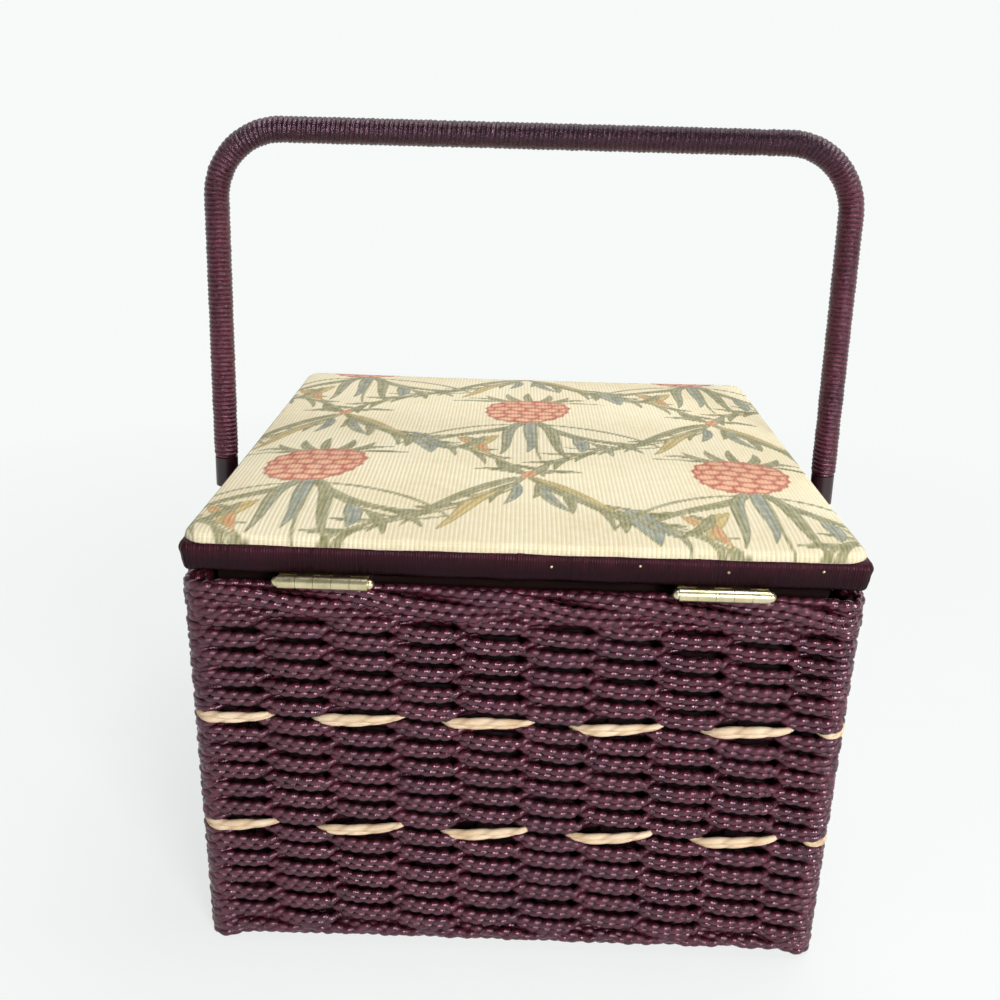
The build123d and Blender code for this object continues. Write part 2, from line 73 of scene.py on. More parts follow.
# Cords
CORD_RADIUS = 1.98 * MM
CORD_BEAD = 4.8 * MM  # from one crest of the twist to the next along the cord
CORD_LOBE = 0.34  # how deep the twist's valleys are, as a part of the radius
CORD_SIDES = (-104, -62, -21, 21, 62, 104, 180)  # degrees from straight out
PAIR_SPREAD = 1.56 * MM  # each cord of a pair from the middle of the pair
LOWER_MARK = 1000  # whole turns added to u, by which the paint knows the lower cord of a pair and gives it more painted shade
CORNER_REACH = 3.2 * MM  # how far outside the mid-plane every cord lies at a corner
STUD_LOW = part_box("snap_stud")[0]
TAB_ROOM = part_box("closure_tab")[1].x + 3 * MM
TAB_REACH = 1.0 * MM  # how far out cords may lie under the closure tab
FREE_REACH = 8.0 * MM  # further out than any cord lies
HOLLOW_FADE = 7.0 * MM  # how far beside the tab and below the stud the cords' hollow begins
CORNER_FADE = 0.36  # columns over which a cord swings out to a corner
VISIBLE_STEPS = 26  # rings along one column where a course is outside
CORNER_STEPS = 12  # rings along a hidden column beside a corner
HIDDEN_STEPS = (-0.5, -0.4, 0.0, 0.4)  # rings of other hidden columns, from the stake

# Camera, from the sight lines of the lid, walls and handle
CAMERA_PLACE = (-5 * MM, -477.5 * MM, 329.5 * MM)
CAMERA_PITCH = math.radians(20.3)
CAMERA_YAW = math.radians(-0.7)
CAMERA_ROLL = math.radians(1.55)
CAMERA_LENS = 38.16
CAMERA_SENSOR = 36.0

BACKGROUND = (0.925, 0.953, 0.937)
FLOOR_GLOW = 0.78  # how much of the floor beside the basket is its glow and not its shading
WORLD_STRENGTH = 0.2
ROOM = 12.0  # half the floor's size, in metres
BACKDROP_Y = 4.0
WALL_RISE = 3.8
CARD_FOOT = -0.01  # how far below the floor the upright cards start


# ------------------------------------------------------------ meshes
def add_object(name, data):
    made = bpy.data.objects.new(name, data)
    bpy.context.scene.collection.objects.link(made)
    return made


class Pile:
    """Vertices, faces and UVs of one piece, gathered grid by grid."""

    def __init__(self):
        self.verts = []
        self.faces = []
        self.uvs = []
        self.count = 0

    def grid(self, points, closed_rows=False, closed_columns=False, uv=None):
        """Quads over points[row][column]; uv has one more row and column where that way is closed."""
        points = np.asarray(points, float)
        rows, columns = points.shape[:2]
        row_steps = rows if closed_rows else rows - 1
        column_steps = columns if closed_columns else columns - 1
        i, j = np.meshgrid(np.arange(row_steps), np.arange(column_steps), indexing="ij")
        i, j = i.ravel(), j.ravel()
        next_i, next_j = (i + 1) % rows, (j + 1) % columns
        corners = [(i, j), (next_i, j), (next_i, next_j), (i, next_j)]
        faces = np.stack([self.count + a * columns + b for a, b in corners], 1)
        self.verts.append(points.reshape(-1, 3))
        self.faces.extend(faces.tolist())
        if uv is None:
            u, v = np.meshgrid(np.arange(rows + 1.0), np.arange(columns + 1.0), indexing="ij")
            uv = np.stack([u / max(rows, 1), v / max(columns, 1)], 2)
        steps = [(i, j), (i + 1, j), (i + 1, j + 1), (i, j + 1)]
        self.uvs.append(np.stack([uv[a, b] for a, b in steps], 1).reshape(-1, 2))
        self.count += rows * columns

    def cap(self, first, size, centre, flip=False):
        """Fan of triangles over `size` vertices from `first` on, round a new centre vertex."""
        hub = self.count
        self.verts.append(np.asarray([centre], float))
        self.count += 1
        for k in range(size):
            a, b = first + k, first + (k + 1) % size
            self.faces.append([a, hub, b] if flip else [a, b, hub])
            self.uvs.append(np.zeros((3, 2)))

    def tube(self, rings, uv=None, ends=None):
        """Grid of closed rings, with a cap at each end round the ring's middle or a point of `ends`."""
        first, size = self.count, len(rings[0])
        self.grid(rings, closed_columns=True, uv=uv)
        start, stop = ends if ends is not None else (rings[0].mean(0), rings[-1].mean(0))
        self.cap(first, size, start)
        self.cap(first + (len(rings) - 1) * size, size, stop, flip=True)

    def skirt(self, edge, ring):
        """Band of quads from the vertices `edge` to the new points `ring`; gives their numbers."""
        lower = self.count + np.arange(len(ring))
        self.verts.append(ring)
        self.count += len(ring)
        for k in range(len(ring)):
            n = (k + 1) % len(ring)
            self.faces.append([edge[k], edge[n], lower[n], lower[k]])
            self.uvs.append(np.zeros((4, 2)))
        return lower

    def build(self, name, material):
        mesh = bpy.data.meshes.new(name)
        mesh.from_pydata(np.concatenate(self.verts).tolist(), [], self.faces)
        layer = mesh.uv_layers.new(name="UVMap")
        layer.data.foreach_set("uv", np.concatenate(self.uvs).astype(np.float32).ravel())
        piece = add_object(name, mesh)
        sculpt = bmesh.new()
        sculpt.from_mesh(mesh)
        bmesh.ops.recalc_face_normals(sculpt, faces=sculpt.faces)
        sculpt.to_mesh(mesh)
        sculpt.free()
        mesh.materials.append(material)
        mesh.polygons.foreach_set("use_smooth", [True] * len(mesh.polygons))
        return piece


def finish_piece(pile, name, material, slot, body, *nodes):
    """Builds the piece, which stands for the CAD nodes named, if any."""
    piece = pile.build(name, material)
    if nodes:
        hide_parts(*nodes)
    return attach(piece, body)


def grid_edge(columns, rows):
    """Numbers of the vertices round the edge of a grid."""
    order = np.arange(columns * rows).reshape(columns, rows)
    return np.concatenate([order[:-1, 0], order[-1, :-1], order[:0:-1, -1], order[0, :0:-1]])


def uv_grid(u, v):
    return np.stack(np.broadcast_arrays(u[:, None], v[None, :]), 2)


def distances(points):
    """Distance travelled at each point of a line."""
    return np.concatenate([[0.0], np.cumsum(np.linalg.norm(np.diff(points, axis=0), axis=1))])


def circle(sides):
    return np.arange(sides) / sides * TAU


def curve_through(places, knots, values):
    """Smooth curve through (knot, value) pairs that never overshoots them."""
    knots, values = np.asarray(knots, float), np.asarray(values, float)
    slopes = np.diff(values) / np.diff(knots)
    lean = np.zeros_like(values)
    level = slopes[:-1] * slopes[1:] <= 0
    both = np.where(level, 1, slopes[:-1] + slopes[1:])
    lean[1:-1] = np.where(level, 0, 2 * slopes[:-1] * slopes[1:] / both)
    k = np.clip(np.searchsorted(knots, places, side="right") - 1, 0, len(knots) - 2)
    step = knots[k + 1] - knots[k]
    t = np.clip((places - knots[k]) / step, 0, 1)
    return ((1 + 2 * t) * (1 - t) ** 2 * values[k] + t * (1 - t) ** 2 * step * lean[k]
            + t**2 * (3 - 2 * t) * values[k + 1] + t**2 * (t - 1) * step * lean[k + 1])


def blend(value, low, high):
    """0 at low, 1 at high, smooth between."""
    part = np.clip((value - low) / (high - low), 0, 1)
    return part * part * (3 - 2 * part)


def unit(vectors):
    return vectors / np.linalg.norm(vectors, axis=-1, keepdims=True)


CREST_POWER = 0.85  # below 1, which broadens the twist's crests


def cord_rings(centres, along, turns, radius, lobe, degrees):
    """Rings of twisted cord and their UVs; u counts ridges passed, so whole numbers are valleys."""
    out = unit(np.cross(along, np.array([0.0, 0.0, 1.0])))
    up = unit(np.cross(out, along))
    angle = np.radians(np.asarray(degrees, float))
    around = np.append(angle, angle[0] + TAU) / TAU
    ply = turns[:, None] - around[None, :]
    crest = np.abs(np.sin(math.pi * ply[: len(centres), :-1])) ** CREST_POWER
    size = np.broadcast_to(radius, (len(centres),))[:, None] * (1 - lobe + lobe * crest)
    rings = (centres[:, None, :]
             + size[..., None] * np.cos(angle)[None, :, None] * out[:, None, :]
             + size[..., None] * np.sin(angle)[None, :, None] * up[:, None, :])
    return rings, np.stack([ply, np.broadcast_to(around[None, :], ply.shape)], 2)


def cord_loop(pile, centres, radius=CORD_RADIUS, bead=CORD_BEAD, lobe=CORD_LOBE, start=0.0):
    """Closed loop of twisted cord round `centres`. `radius` is a number or one per ring."""
    ahead = np.roll(centres, -1, 0)
    along = unit(ahead - np.roll(centres, 1, 0))
    travelled = np.concatenate([[0.0], np.cumsum(np.linalg.norm(ahead - centres, axis=1))])
    beads = max(2, round(travelled[-1] / bead))
    turns = travelled / travelled[-1] * beads + start
    rings, uv = cord_rings(centres, along, turns, radius, lobe, CORD_SIDES)
    pile.grid(rings, closed_rows=True, closed_columns=True, uv=uv)


def cord_length(pile, centres, radius=CORD_RADIUS, bead=CORD_BEAD, lobe=CORD_LOBE, start=0.0,
                sides=CORD_SIDES):
    """Length of twisted cord along `centres`, with pointed ends."""
    along = unit(np.gradient(centres, axis=0))
    rings, uv = cord_rings(centres, along, distances(centres) / bead + start, radius, lobe, sides)
    ends = centres[0] - along[0] * CORD_RADIUS / 2, centres[-1] + along[-1] * CORD_RADIUS / 2
    pile.tube(rings, np.concatenate([uv, uv[-1:]]), ends)


# ------------------------------------------------------------ materials
class Paint:
    """Node material with a Principled shader; its helpers return output sockets."""

    def __init__(self, name):
        self.material = bpy.data.materials.new(name)
        self.material.use_nodes = True
        self.tree = self.material.node_tree
        self.shader = self.tree.nodes["Principled BSDF"]

    def node(self, kind, **values):
        made = self.tree.nodes.new(kind)
        for key, value in values.items():
            setattr(made, key, value)
        return made

    def feed(self, socket, value):
        if isinstance(value, bpy.types.NodeSocket):
            self.tree.links.new(value, socket)
        elif value is not None:
            socket.default_value = value

    def math(self, operation, a, b=None, c=None, clamp=False):
        made = self.node("ShaderNodeMath", operation=operation, use_clamp=clamp)
        for socket, value in zip(made.inputs, (a, b, c)):
            self.feed(socket, value)
        return made.outputs[0]

    def coordinates(self, kind="Object"):
        return self.node("ShaderNodeTexCoord").outputs[kind]

    def axes(self, vector):
        made = self.node("ShaderNodeSeparateXYZ")
        self.feed(made.inputs[0], vector)
        return made.outputs

    def noise(self, scale, detail=3.0, roughness=0.55, vector=None, distortion=0.0):
        made = self.node("ShaderNodeTexNoise")
        self.feed(made.inputs["Vector"], vector or self.coordinates())
        numbers = {"Scale": scale, "Detail": detail, "Roughness": roughness, "Distortion": distortion}
        for key, value in numbers.items():
            made.inputs[key].default_value = value
        return made.outputs["Fac"]

    def cells(self, scale):
        made = self.node("ShaderNodeTexVoronoi")
        self.feed(made.inputs["Vector"], self.coordinates())
        made.inputs["Scale"].default_value = scale
        return made.outputs["Distance"]

    def remap(self, value, low, high, to_low=0.0, to_high=1.0):
        made = self.node("ShaderNodeMapRange")
        for socket, number in zip(made.inputs, (value, low, high, to_low, to_high)):
            self.feed(socket, number)
        return made.outputs[0]

    def ramp(self, value, *stops):
        """Colour ramp; each stop is (place, (r, g, b))."""
        made = self.node("ShaderNodeValToRGB")
        self.feed(made.inputs[0], value)
        elements = made.color_ramp.elements
        while len(elements) < len(stops):
            elements.new(0.5)
        for element, (place, colour) in zip(elements, stops):
            element.position = place
            element.color = (*colour, 1)
        return made.outputs[0]

    def tones(self, value, dark, light):
        """The two colours of a material that varies a little."""
        return self.ramp(value, (0.3, dark), (0.7, light))

    def mix(self, amount, a, b, blend="MIX"):
        made = self.node("ShaderNodeMix", data_type="RGBA", blend_type=blend)
        for socket, value in ((made.inputs[0], amount), (made.inputs[6], a), (made.inputs[7], b)):
            if isinstance(value, tuple):
                value = (*value, 1)
            self.feed(socket, value)
        return made.outputs[2]

    def bump(self, height, strength, distance=0.001, normal=None):
        made = self.node("ShaderNodeBump")
        made.inputs["Strength"].default_value = strength
        made.inputs["Distance"].default_value = distance
        self.feed(made.inputs["Height"], height)
        if normal is not None:
            self.feed(made.inputs["Normal"], normal)
        return made.outputs[0]

    def set(self, **sockets):
        """Sets sockets of the shader; a name's underscores stand for spaces."""
        for key, value in sockets.items():
            if isinstance(value, tuple) and len(value) == 3:
                value = (*value, 1)
            self.feed(self.shader.inputs[key.replace("_", " ")], value)
        return self.material


def cord_paint(name, dark, light, crevice_shade, depth, gloss, level, shine):
    """Twisted cord: u counts its plies, as cord_rings lays them. Painted shade darkens the valleys
    between plies and the faces that look down, most of all on the lower cord of a pair."""
    paint = Paint(name)
    u = paint.axes(paint.coordinates("UV"))[0]
    ply = paint.math("FRACT", u)
    ridge = paint.math("PINGPONG", ply, 0.5)
    # painted shade in the valleys between the plies
    valley_shade = paint.remap(ridge, 0.0, 0.22, depth, 0.0)
    fibres = paint.math("SINE", paint.math("MULTIPLY", ply, TAU * 6))
    drift = paint.noise(70.0, 4.0)
    speck = paint.noise(1100.0, 2.0)
    colour = paint.ramp(drift, (0.30, dark), (0.72, light))
    colour = paint.mix(paint.remap(speck, 0.5, 0.8, 0.0, 0.3), colour, light)
    colour = paint.mix(valley_shade, colour, crevice_shade)
    # painted shade on faces that look down, deeper on the lower cord of a pair
    facing = paint.axes(paint.coordinates("Normal"))[2]
    lower = paint.math("GREATER_THAN", u, LOWER_MARK / 2)
    share = paint.remap(lower, 0, 1, 0.2, 0.95)
    under = paint.math("MULTIPLY", paint.remap(facing, 0.25, -0.6), share)
    colour = paint.mix(under, colour, crevice_shade)
    height = paint.math("MULTIPLY_ADD", fibres, 0.04, paint.math("POWER", ridge, 0.6))
    normal = paint.bump(height, 0.6 * depth, 0.0010)
    normal = paint.bump(speck, 0.2, 0.0002, normal)
    wear = paint.noise(23.0, 2.0)
    rough = paint.remap(wear, 0.36, 0.62, gloss - 0.04, gloss + 0.2)
    return paint.set(Base_Color=colour, Roughness=paint.math("MULTIPLY_ADD", valley_shade, 0.3, rough),
                     Normal=normal, Specular_IOR_Level=level, Specular_Tint=shine)


def thread_paint():
    """Fine thread wound round the lid frame, with painted shade between its threads and low on its
    face, and a painted highlight towards its top: u counts threads along it.
    """
    paint = Paint("wound_thread")
    u = paint.axes(paint.coordinates("UV"))[0]
    thread = paint.math("PINGPONG", paint.math("FRACT", u), 0.5)
    lay = paint.noise(170.0, 4.0, 0.7)
    drift = paint.noise(26.0, 3.0)
    colour = paint.tones(drift, (0.008, 0.0013, 0.0018), (0.017, 0.0028, 0.0042))
    colour = paint.mix(paint.remap(lay, 0.45, 0.78, 0.0, 0.6), colour, (0.045, 0.0085, 0.0125))
    # painted shade between the threads
    colour = paint.mix(paint.remap(thread, 0.0, 0.16, 0.7, 0.0), colour, (0.004, 0.0008, 0.0012))
    # painted light: shade low on the rim's face and a highlight towards its top
    height = paint.axes(paint.coordinates())[2]
    painted_light_ramp = paint.remap(height, RIM_HIGH.z - 7 * MM, RIM_HIGH.z - 1 * MM, 0.4, 1.6)
    colour = paint.mix(1.0, colour, painted_light_ramp, "MULTIPLY")
    normal = paint.bump(thread, 0.4, 0.0005)
    normal = paint.bump(lay, 0.25, 0.0009, normal)
    return paint.set(Base_Color=colour, Roughness=paint.remap(lay, 0.3, 0.7, 0.36, 0.6),
                     Normal=normal, Specular_IOR_Level=0.24, Specular_Tint=(1.0, 0.52, 0.72))


def winding_paint():
    """Glossy cord wound round the bail, with painted shade between its turns and along its crossbar,
    where it is darkest: u counts turns along it.
    """
    paint = Paint("bail_winding")
    u, v = paint.axes(paint.coordinates("UV"))[:2]
    turn = paint.math("PINGPONG", paint.math("FRACT", paint.math("ADD", u, v)), 0.5)
    drift = paint.noise(45.0, 3.0)
    strand = paint.noise(420.0, 4.0, 0.7)
    colour = paint.tones(drift, (0.034, 0.0056, 0.0096), (0.095, 0.0175, 0.0290))
    # painted shade between the turns
    colour = paint.mix(paint.remap(turn, 0.0, 0.22, 0.95, 0.0), colour, (0.002, 0.0004, 0.0007))
    colour = paint.mix(paint.remap(strand, 0.5, 0.8, 0.0, 0.5), colour, (0.12, 0.036, 0.056))
    # painted shade, darkest along the crossbar at the top
    height = paint.axes(paint.coordinates())[2]
    crossbar_shade = paint.remap(height, BAIL_HIGH.z - 22 * MM, BAIL_HIGH.z - 8 * MM, 1.0, 0.12)
    colour = paint.mix(1.0, colour, crossbar_shade, "MULTIPLY")
    normal = paint.bump(turn, 0.8, 0.0009)
    normal = paint.bump(strand, 0.8, 0.0008, normal)
    return paint.set(Base_Color=colour, Roughness=paint.remap(strand, 0.3, 0.7, 0.17, 0.36),
                     Normal=normal, Specular_IOR_Level=0.8, Specular_Tint=(1.0, 0.56, 0.76))


def brass_paint():
    paint = Paint("brass")
    wear = paint.noise(220.0, 4.0)
    scratch = paint.noise(500.0, 2.0, distortion=1.0)
    colour = paint.tones(wear, (0.56, 0.49, 0.29), (0.78, 0.71, 0.46))
    rough = paint.remap(scratch, 0.3, 0.7, 0.26, 0.36)
    return paint.set(Base_Color=colour, Roughness=rough, Metallic=1.0,
                     Normal=paint.bump(scratch, 0.02, 0.0002))


def steel_paint():
    paint = Paint("plated_steel")
    brushed = paint.noise(700.0, 3.0, distortion=0.6)
    colour = paint.tones(brushed, (0.50, 0.50, 0.52), (0.66, 0.66, 0.68))
    return paint.set(Base_Color=colour, Roughness=paint.remap(brushed, 0.3, 0.7, 0.24, 0.4),
                     Metallic=1.0, Normal=paint.bump(brushed, 0.05, 0.0002))


def wood_paint(name, dark, light, rough):
    paint = Paint(name)
    x, y, z = paint.axes(paint.coordinates())
    stretched = paint.node("ShaderNodeCombineXYZ")
    for socket, value, scale in zip(stretched.inputs, (x, y, z), (1.0, 1.0, 7.0)):
        paint.feed(socket, paint.math("MULTIPLY", value, scale))
    rings = paint.noise(40.0, 5.0, 0.6, stretched.outputs[0], 0.8)
    pores = paint.noise(600.0, 2.0, 0.5, stretched.outputs[0])
    colour = paint.ramp(rings, (0.32, dark), (0.66, light))
    colour = paint.mix(paint.remap(pores, 0.55, 0.8, 0.0, 0.35), colour, dark)
    return paint.set(Base_Color=colour, Roughness=paint.remap(rings, 0.3, 0.7, rough, rough + 0.12),
                     Normal=paint.bump(pores, 0.15, 0.0003), Specular_IOR_Level=0.1)


def board_paint():
    paint = Paint("hardboard")
    flecks = paint.noise(260.0, 5.0, 0.7)
    fuzz = paint.noise(1500.0, 2.0)
    colour = paint.tones(flecks, (0.22, 0.13, 0.07), (0.36, 0.24, 0.14))
    return paint.set(Base_Color=colour, Roughness=0.8, Normal=paint.bump(fuzz, 0.2, 0.0002))


FLOAT_PITCH = 0.7 * MM  # of the satin's weave


def satin_paint():
    """Lining satin: fine diagonal floats with a soft shine, and near-black painted shade on the backs
    of the wall panels.
    """
    paint = Paint("lining_satin")
    x, y, z = paint.axes(paint.coordinates())
    warp, weft = [paint.math("SINE", paint.math("MULTIPLY", paint.math("ADD", way, z), TAU / FLOAT_PITCH))
                  for way in (x, y)]
    weave = paint.math("MULTIPLY", warp, weft)
    drift = paint.noise(30.0, 3.0)
    colour = paint.tones(drift, (0.085, 0.014, 0.030), (0.130, 0.024, 0.048))
    normal = paint.bump(weave, 0.12, 0.0001)
    # painted shade: the backs of the wall panels are near-black
    reach = paint.math("MAXIMUM", paint.math("ABSOLUTE", x), paint.math("ABSOLUTE", y))
    back = paint.remap(reach, PANEL_FACE - 0.3 * MM, PANEL_FACE - 0.2 * MM)
    colour = paint.mix(back, colour, (0.006, 0.002, 0.002))
    return paint.set(Base_Color=colour, Roughness=paint.remap(drift, 0.3, 0.7, 0.36, 0.48),
                     Normal=normal, Sheen_Weight=0.15, Sheen_Roughness=0.4)


def foam_paint():
    paint = Paint("foam")
    distance = paint.cells(1100.0)
    colour = paint.ramp(distance, (0.1, (0.80, 0.74, 0.55)), (0.6, (0.90, 0.87, 0.74)))
    return paint.set(Base_Color=colour, Roughness=0.9, Normal=paint.bump(distance, 0.4, 0.0004))


def plastic_paint(name, dark, light, rough, grain=0.05):
    """Moulded plastic with a little mottling and a faint grain."""
    paint = Paint(name)
    mottle = paint.noise(25.0, 3.0)
    texture = paint.noise(1400.0, 2.0)
    colour = paint.tones(mottle, dark, light)
    return paint.set(Base_Color=colour, Roughness=paint.remap(texture, 0.3, 0.7, rough, rough + 0.1),
                     Normal=paint.bump(texture, grain, 0.0002), Coat_Weight=0.1)


def leatherette_paint():
    paint = Paint("leatherette")
    distance = paint.cells(900.0)
    drift = paint.noise(120.0, 3.0)
    colour = paint.tones(drift, (0.030, 0.007, 0.011), (0.052, 0.013, 0.020))
    return paint.set(Base_Color=colour, Roughness=paint.remap(distance, 0.0, 0.6, 0.55, 0.4),
                     Normal=paint.bump(distance, 0.35, 0.0004))


# The third colour of each cord is its painted shade, in the valleys between plies and on faces that look down
PLUM_CORD = cord_paint("plum_cord", (0.030, 0.0034, 0.0070), (0.082, 0.0120, 0.0220),
                       (0.0015, 0.0003, 0.0005), 0.9, 0.18, 0.88, (1.0, 0.63, 0.81))
PALE_CORD = cord_paint("pale_cord", (0.60, 0.42, 0.25), (0.84, 0.69, 0.50),
                       (0.36, 0.21, 0.11), 0.5, 0.6, 0.3, (1.0, 0.95, 0.85))
THREAD = thread_paint()
WINDING = winding_paint()
BRASS = brass_paint()
STEEL = steel_paint()
# The stakes are near-black as painted shade: they show only in the gaps between the courses
REED = wood_paint("shade_dark_reed", (0.005, 0.0012, 0.0018), (0.014, 0.0035, 0.005), 0.7)
# The frames are near-black as painted shade: they show only in the dark gap under the rim
WOOD = wood_paint("frame_wood", (0.006, 0.002, 0.002), (0.016, 0.006, 0.0055), 0.7)
BOARD = board_paint()
SATIN = satin_paint()
FOAM = foam_paint()
TRAY_PLASTIC = plastic_paint("tray_plastic", (0.70, 0.64, 0.54), (0.78, 0.73, 0.63), 0.3)
SLEEVE_PLASTIC = plastic_paint("sleeve_plastic", (0.020, 0.005, 0.008), (0.034, 0.009, 0.014), 0.34)
LEATHERETTE = leatherette_paint()


def dress(material, *nodes):
    """Gives carried-over CAD nodes their material."""
    for name in nodes:
        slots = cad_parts[name].data.materials
        slots.clear()
        slots.append(material)


dress(REED, "stakes")
dress(BOARD, "base_board", "lid_board")
dress(WOOD, "corner_posts", "top_frame", "tray_ledge", "lid_frame")
dress(TRAY_PLASTIC, "notions_tray")
dress(BRASS, "left_hinge_lower_leaf", "right_hinge_lower_leaf", "left_hinge_upper_leaf",
      "right_hinge_upper_leaf", "snap_cap")
dress(SLEEVE_PLASTIC, "wall_grommets", "end_sleeves")
dress(STEEL, "pivot_rods", "retaining_washers")
dress(FOAM, "lid_padding")


# ------------------------------------------------------------ woven wall
def rounded_square(half, radius, along):
    """Points and outward normals of a rounded square at distances `along` its outline."""
    straight = 2 * (half - radius)
    arc = radius * math.pi / 2
    side_length = straight + arc
    side = np.floor(along / side_length)
    local = along - side * side_length
    swing = np.clip((local - straight) / arc, 0, 1) * math.pi / 2
    x = np.minimum(local, straight) - straight / 2 + radius * np.sin(swing)
    y = -(half - radius) - radius * np.cos(swing)
    normal_x, normal_y = np.sin(swing), -np.cos(swing)
    cosine, sine = np.cos(side * math.pi / 2), np.sin(side * math.pi / 2)
    points = np.stack([x * cosine - y * sine, x * sine + y * cosine], 1)
    normals = np.stack([normal_x * cosine - normal_y * sine, normal_x * sine + normal_y * cosine], 1)
    return points, normals


def wall_place(turns):
    """Points on the wall's mid-plane and their outward normals; `turns` counts stakes from the
    first one of the hinge side, anticlockwise seen from above."""
    straight = 2 * (WALL_HALF - CORNER_RADIUS)
    side_length = straight + CORNER_RADIUS * math.pi / 2
    first = straight / 2 - LAST_STAKE
    side = np.floor(turns / COLUMNS)
    column = turns - side * COLUMNS
    last = first + 2 * LAST_STAKE
    along = np.interp(column, (0, COLUMNS - 1, COLUMNS), (first, last, side_length + first))
    return rounded_square(WALL_HALF, CORNER_RADIUS, side * side_length + along)


def stations(course, steps=None):
    """Turns of the rings of a course, close together where it shows."""
    turns = []
    for stake in range(4 * COLUMNS):
        beside_corner = stake % COLUMNS in (0, COLUMNS - 1)
        if steps or (stake + course) % 2 == 1:
            count = steps or VISIBLE_STEPS
            turns.extend(stake - 0.5 + np.arange(count) / count)
        elif beside_corner:
            turns.extend(stake - 0.5 + np.arange(CORNER_STEPS) / CORNER_STEPS)
        else:
            turns.extend(stake + np.array(HIDDEN_STEPS))
    return np.asarray(turns) % (4 * COLUMNS)


WAVES = (3, 7, 13, 19, 31)  # round the whole basket


def wander(turns, seed, size):
    """Slow unevenness of handwork that closes on itself round the basket."""
    draw = np.random.default_rng(seed)
    total = np.zeros_like(turns)
    for waves in WAVES:
        total += draw.normal() * np.sin(TAU * waves * turns / (4 * COLUMNS) + draw.uniform(0, TAU))
    return size * total / 2


def float_part(turns, course):
    """Places along a course from -1 to 1: 0 at a stake that it passes outside, the ends at its
    neighbours, which it passes inside."""
    return (turns + course + 2) % 2 - 1


def place_cord(turns, reach, height):
    """Points that lie `reach` outside the mid-plane, a little more round the corners, and less
    under the tab."""
    plan, normal = wall_place(turns % (4 * COLUMNS))
    corner = np.abs(turns % COLUMNS - (COLUMNS - 0.5))
    corner = np.minimum(corner, COLUMNS - corner)
    near = np.exp(-((corner / CORNER_FADE) ** 2))
    reach = reach * (1 - near) + CORNER_REACH * near
    hollow = (blend(np.abs(plan[:, 0]), TAB_ROOM + HOLLOW_FADE, TAB_ROOM) * (plan[:, 1] > 0)
              * blend(height, STUD_LOW.z - HOLLOW_FADE, STUD_LOW.z - 2 * MM))
    reach = np.minimum(reach, TAB_REACH + (1 - hollow) * FREE_REACH)
    flat = plan + normal * reach[:, None]
    return np.concatenate([flat, height[:, None]], 1)


PAIR_TILT = math.radians(62)  # lean of a pair where it goes through the wall
PAIR_REST = math.radians(10)  # and elsewhere
PAIR_TILT_LENGTH = 0.15  # columns before and after the mid-plane over which a pair leans more
PAIR_LATE = 0.04  # columns by which the leaning comes late
PAIR_PRESS = 0.9  # how far a pair's cords are pressed together sideways, as a part of their spread


def pair_lean(part):
    """How far a pair leans: a little past the stakes, and nearly flat between them, upper cord
    outside, where a course goes through between its neighbours."""
    away = np.abs(np.abs(part - PAIR_LATE) - 0.5) / PAIR_TILT_LENGTH
    return PAIR_REST + (PAIR_TILT - PAIR_REST) * np.cos(math.pi / 2 * np.clip(away, 0, 1)) ** 2


# One float and the hidden lengths beside it: places in columns from the stake that the course passes
# outside, and reaches and heights in mm. It comes out gently from behind its left neighbours, and goes
# in steeply over its right ones.
FLOAT_PLACES = (-1.0, -0.66, -0.52, -0.36, -0.2, 0.0, 0.22, 0.4, 0.5, 0.59, 0.72, 1.0)
FLOAT_REACH = (-3.1, -2.9, -0.6, 1.3, 2.4, 3.1, 3.5, 3.3, 2.5, 0.2, -2.7, -3.1)
FLOAT_HEIGHT = (0.2, 0.5, 0.5, 0.3, 0.0, -0.25, -0.3, -0.3, -0.5, -0.7, -0.4, 0.2)
CORD_UNEVEN = 0.05  # how much a cord's thickness varies, as a part of it
REACH_UNEVEN = 0.18 * MM
HEIGHT_UNEVEN = 0.26 * MM
BEAD_SHIFT = 0.37  # of a bead, from one course to the next


def plum_courses(name, courses):
    """A course is two twisted cords, one above the other past each stake."""
    pile = Pile()
    for course in courses:
        turns = stations(course)
        part = float_part(turns, course)
        reach = curve_through(part, FLOAT_PLACES, FLOAT_REACH) * MM
        reach = reach + wander(turns, 100 + course, REACH_UNEVEN)
        middle = WEAVE_BASE + (course + 0.5) * COURSE_PITCH + wander(turns, 200 + course, HEIGHT_UNEVEN)
        middle = middle + curve_through(part, FLOAT_PLACES, FLOAT_HEIGHT) * MM
        lean = pair_lean(part)
        for hand in (1, -1):
            radius = CORD_RADIUS * (1 + wander(turns, 600 + 2 * course + hand, CORD_UNEVEN))
            centres = place_cord(turns, reach + hand * PAIR_SPREAD * np.sin(lean) * PAIR_PRESS,
                                 middle + hand * PAIR_SPREAD * np.cos(lean))
            start = BEAD_SHIFT * course + (0.5 if hand > 0 else LOWER_MARK)
            cord_loop(pile, centres, radius, start=start)
    finish_piece(pile, "cord_" + name, PLUM_CORD, "cord_plum", "basket", name)


ACCENT_RADIUS = 1.62 * MM
ACCENT_BEAD = 10.5 * MM
ACCENT_LOBE = 0.2
ACCENT_UNEVEN = 0.07
ACCENT_RISE = 0.35 * MM  # how far its height wanders
ACCENT_STEPS = 30
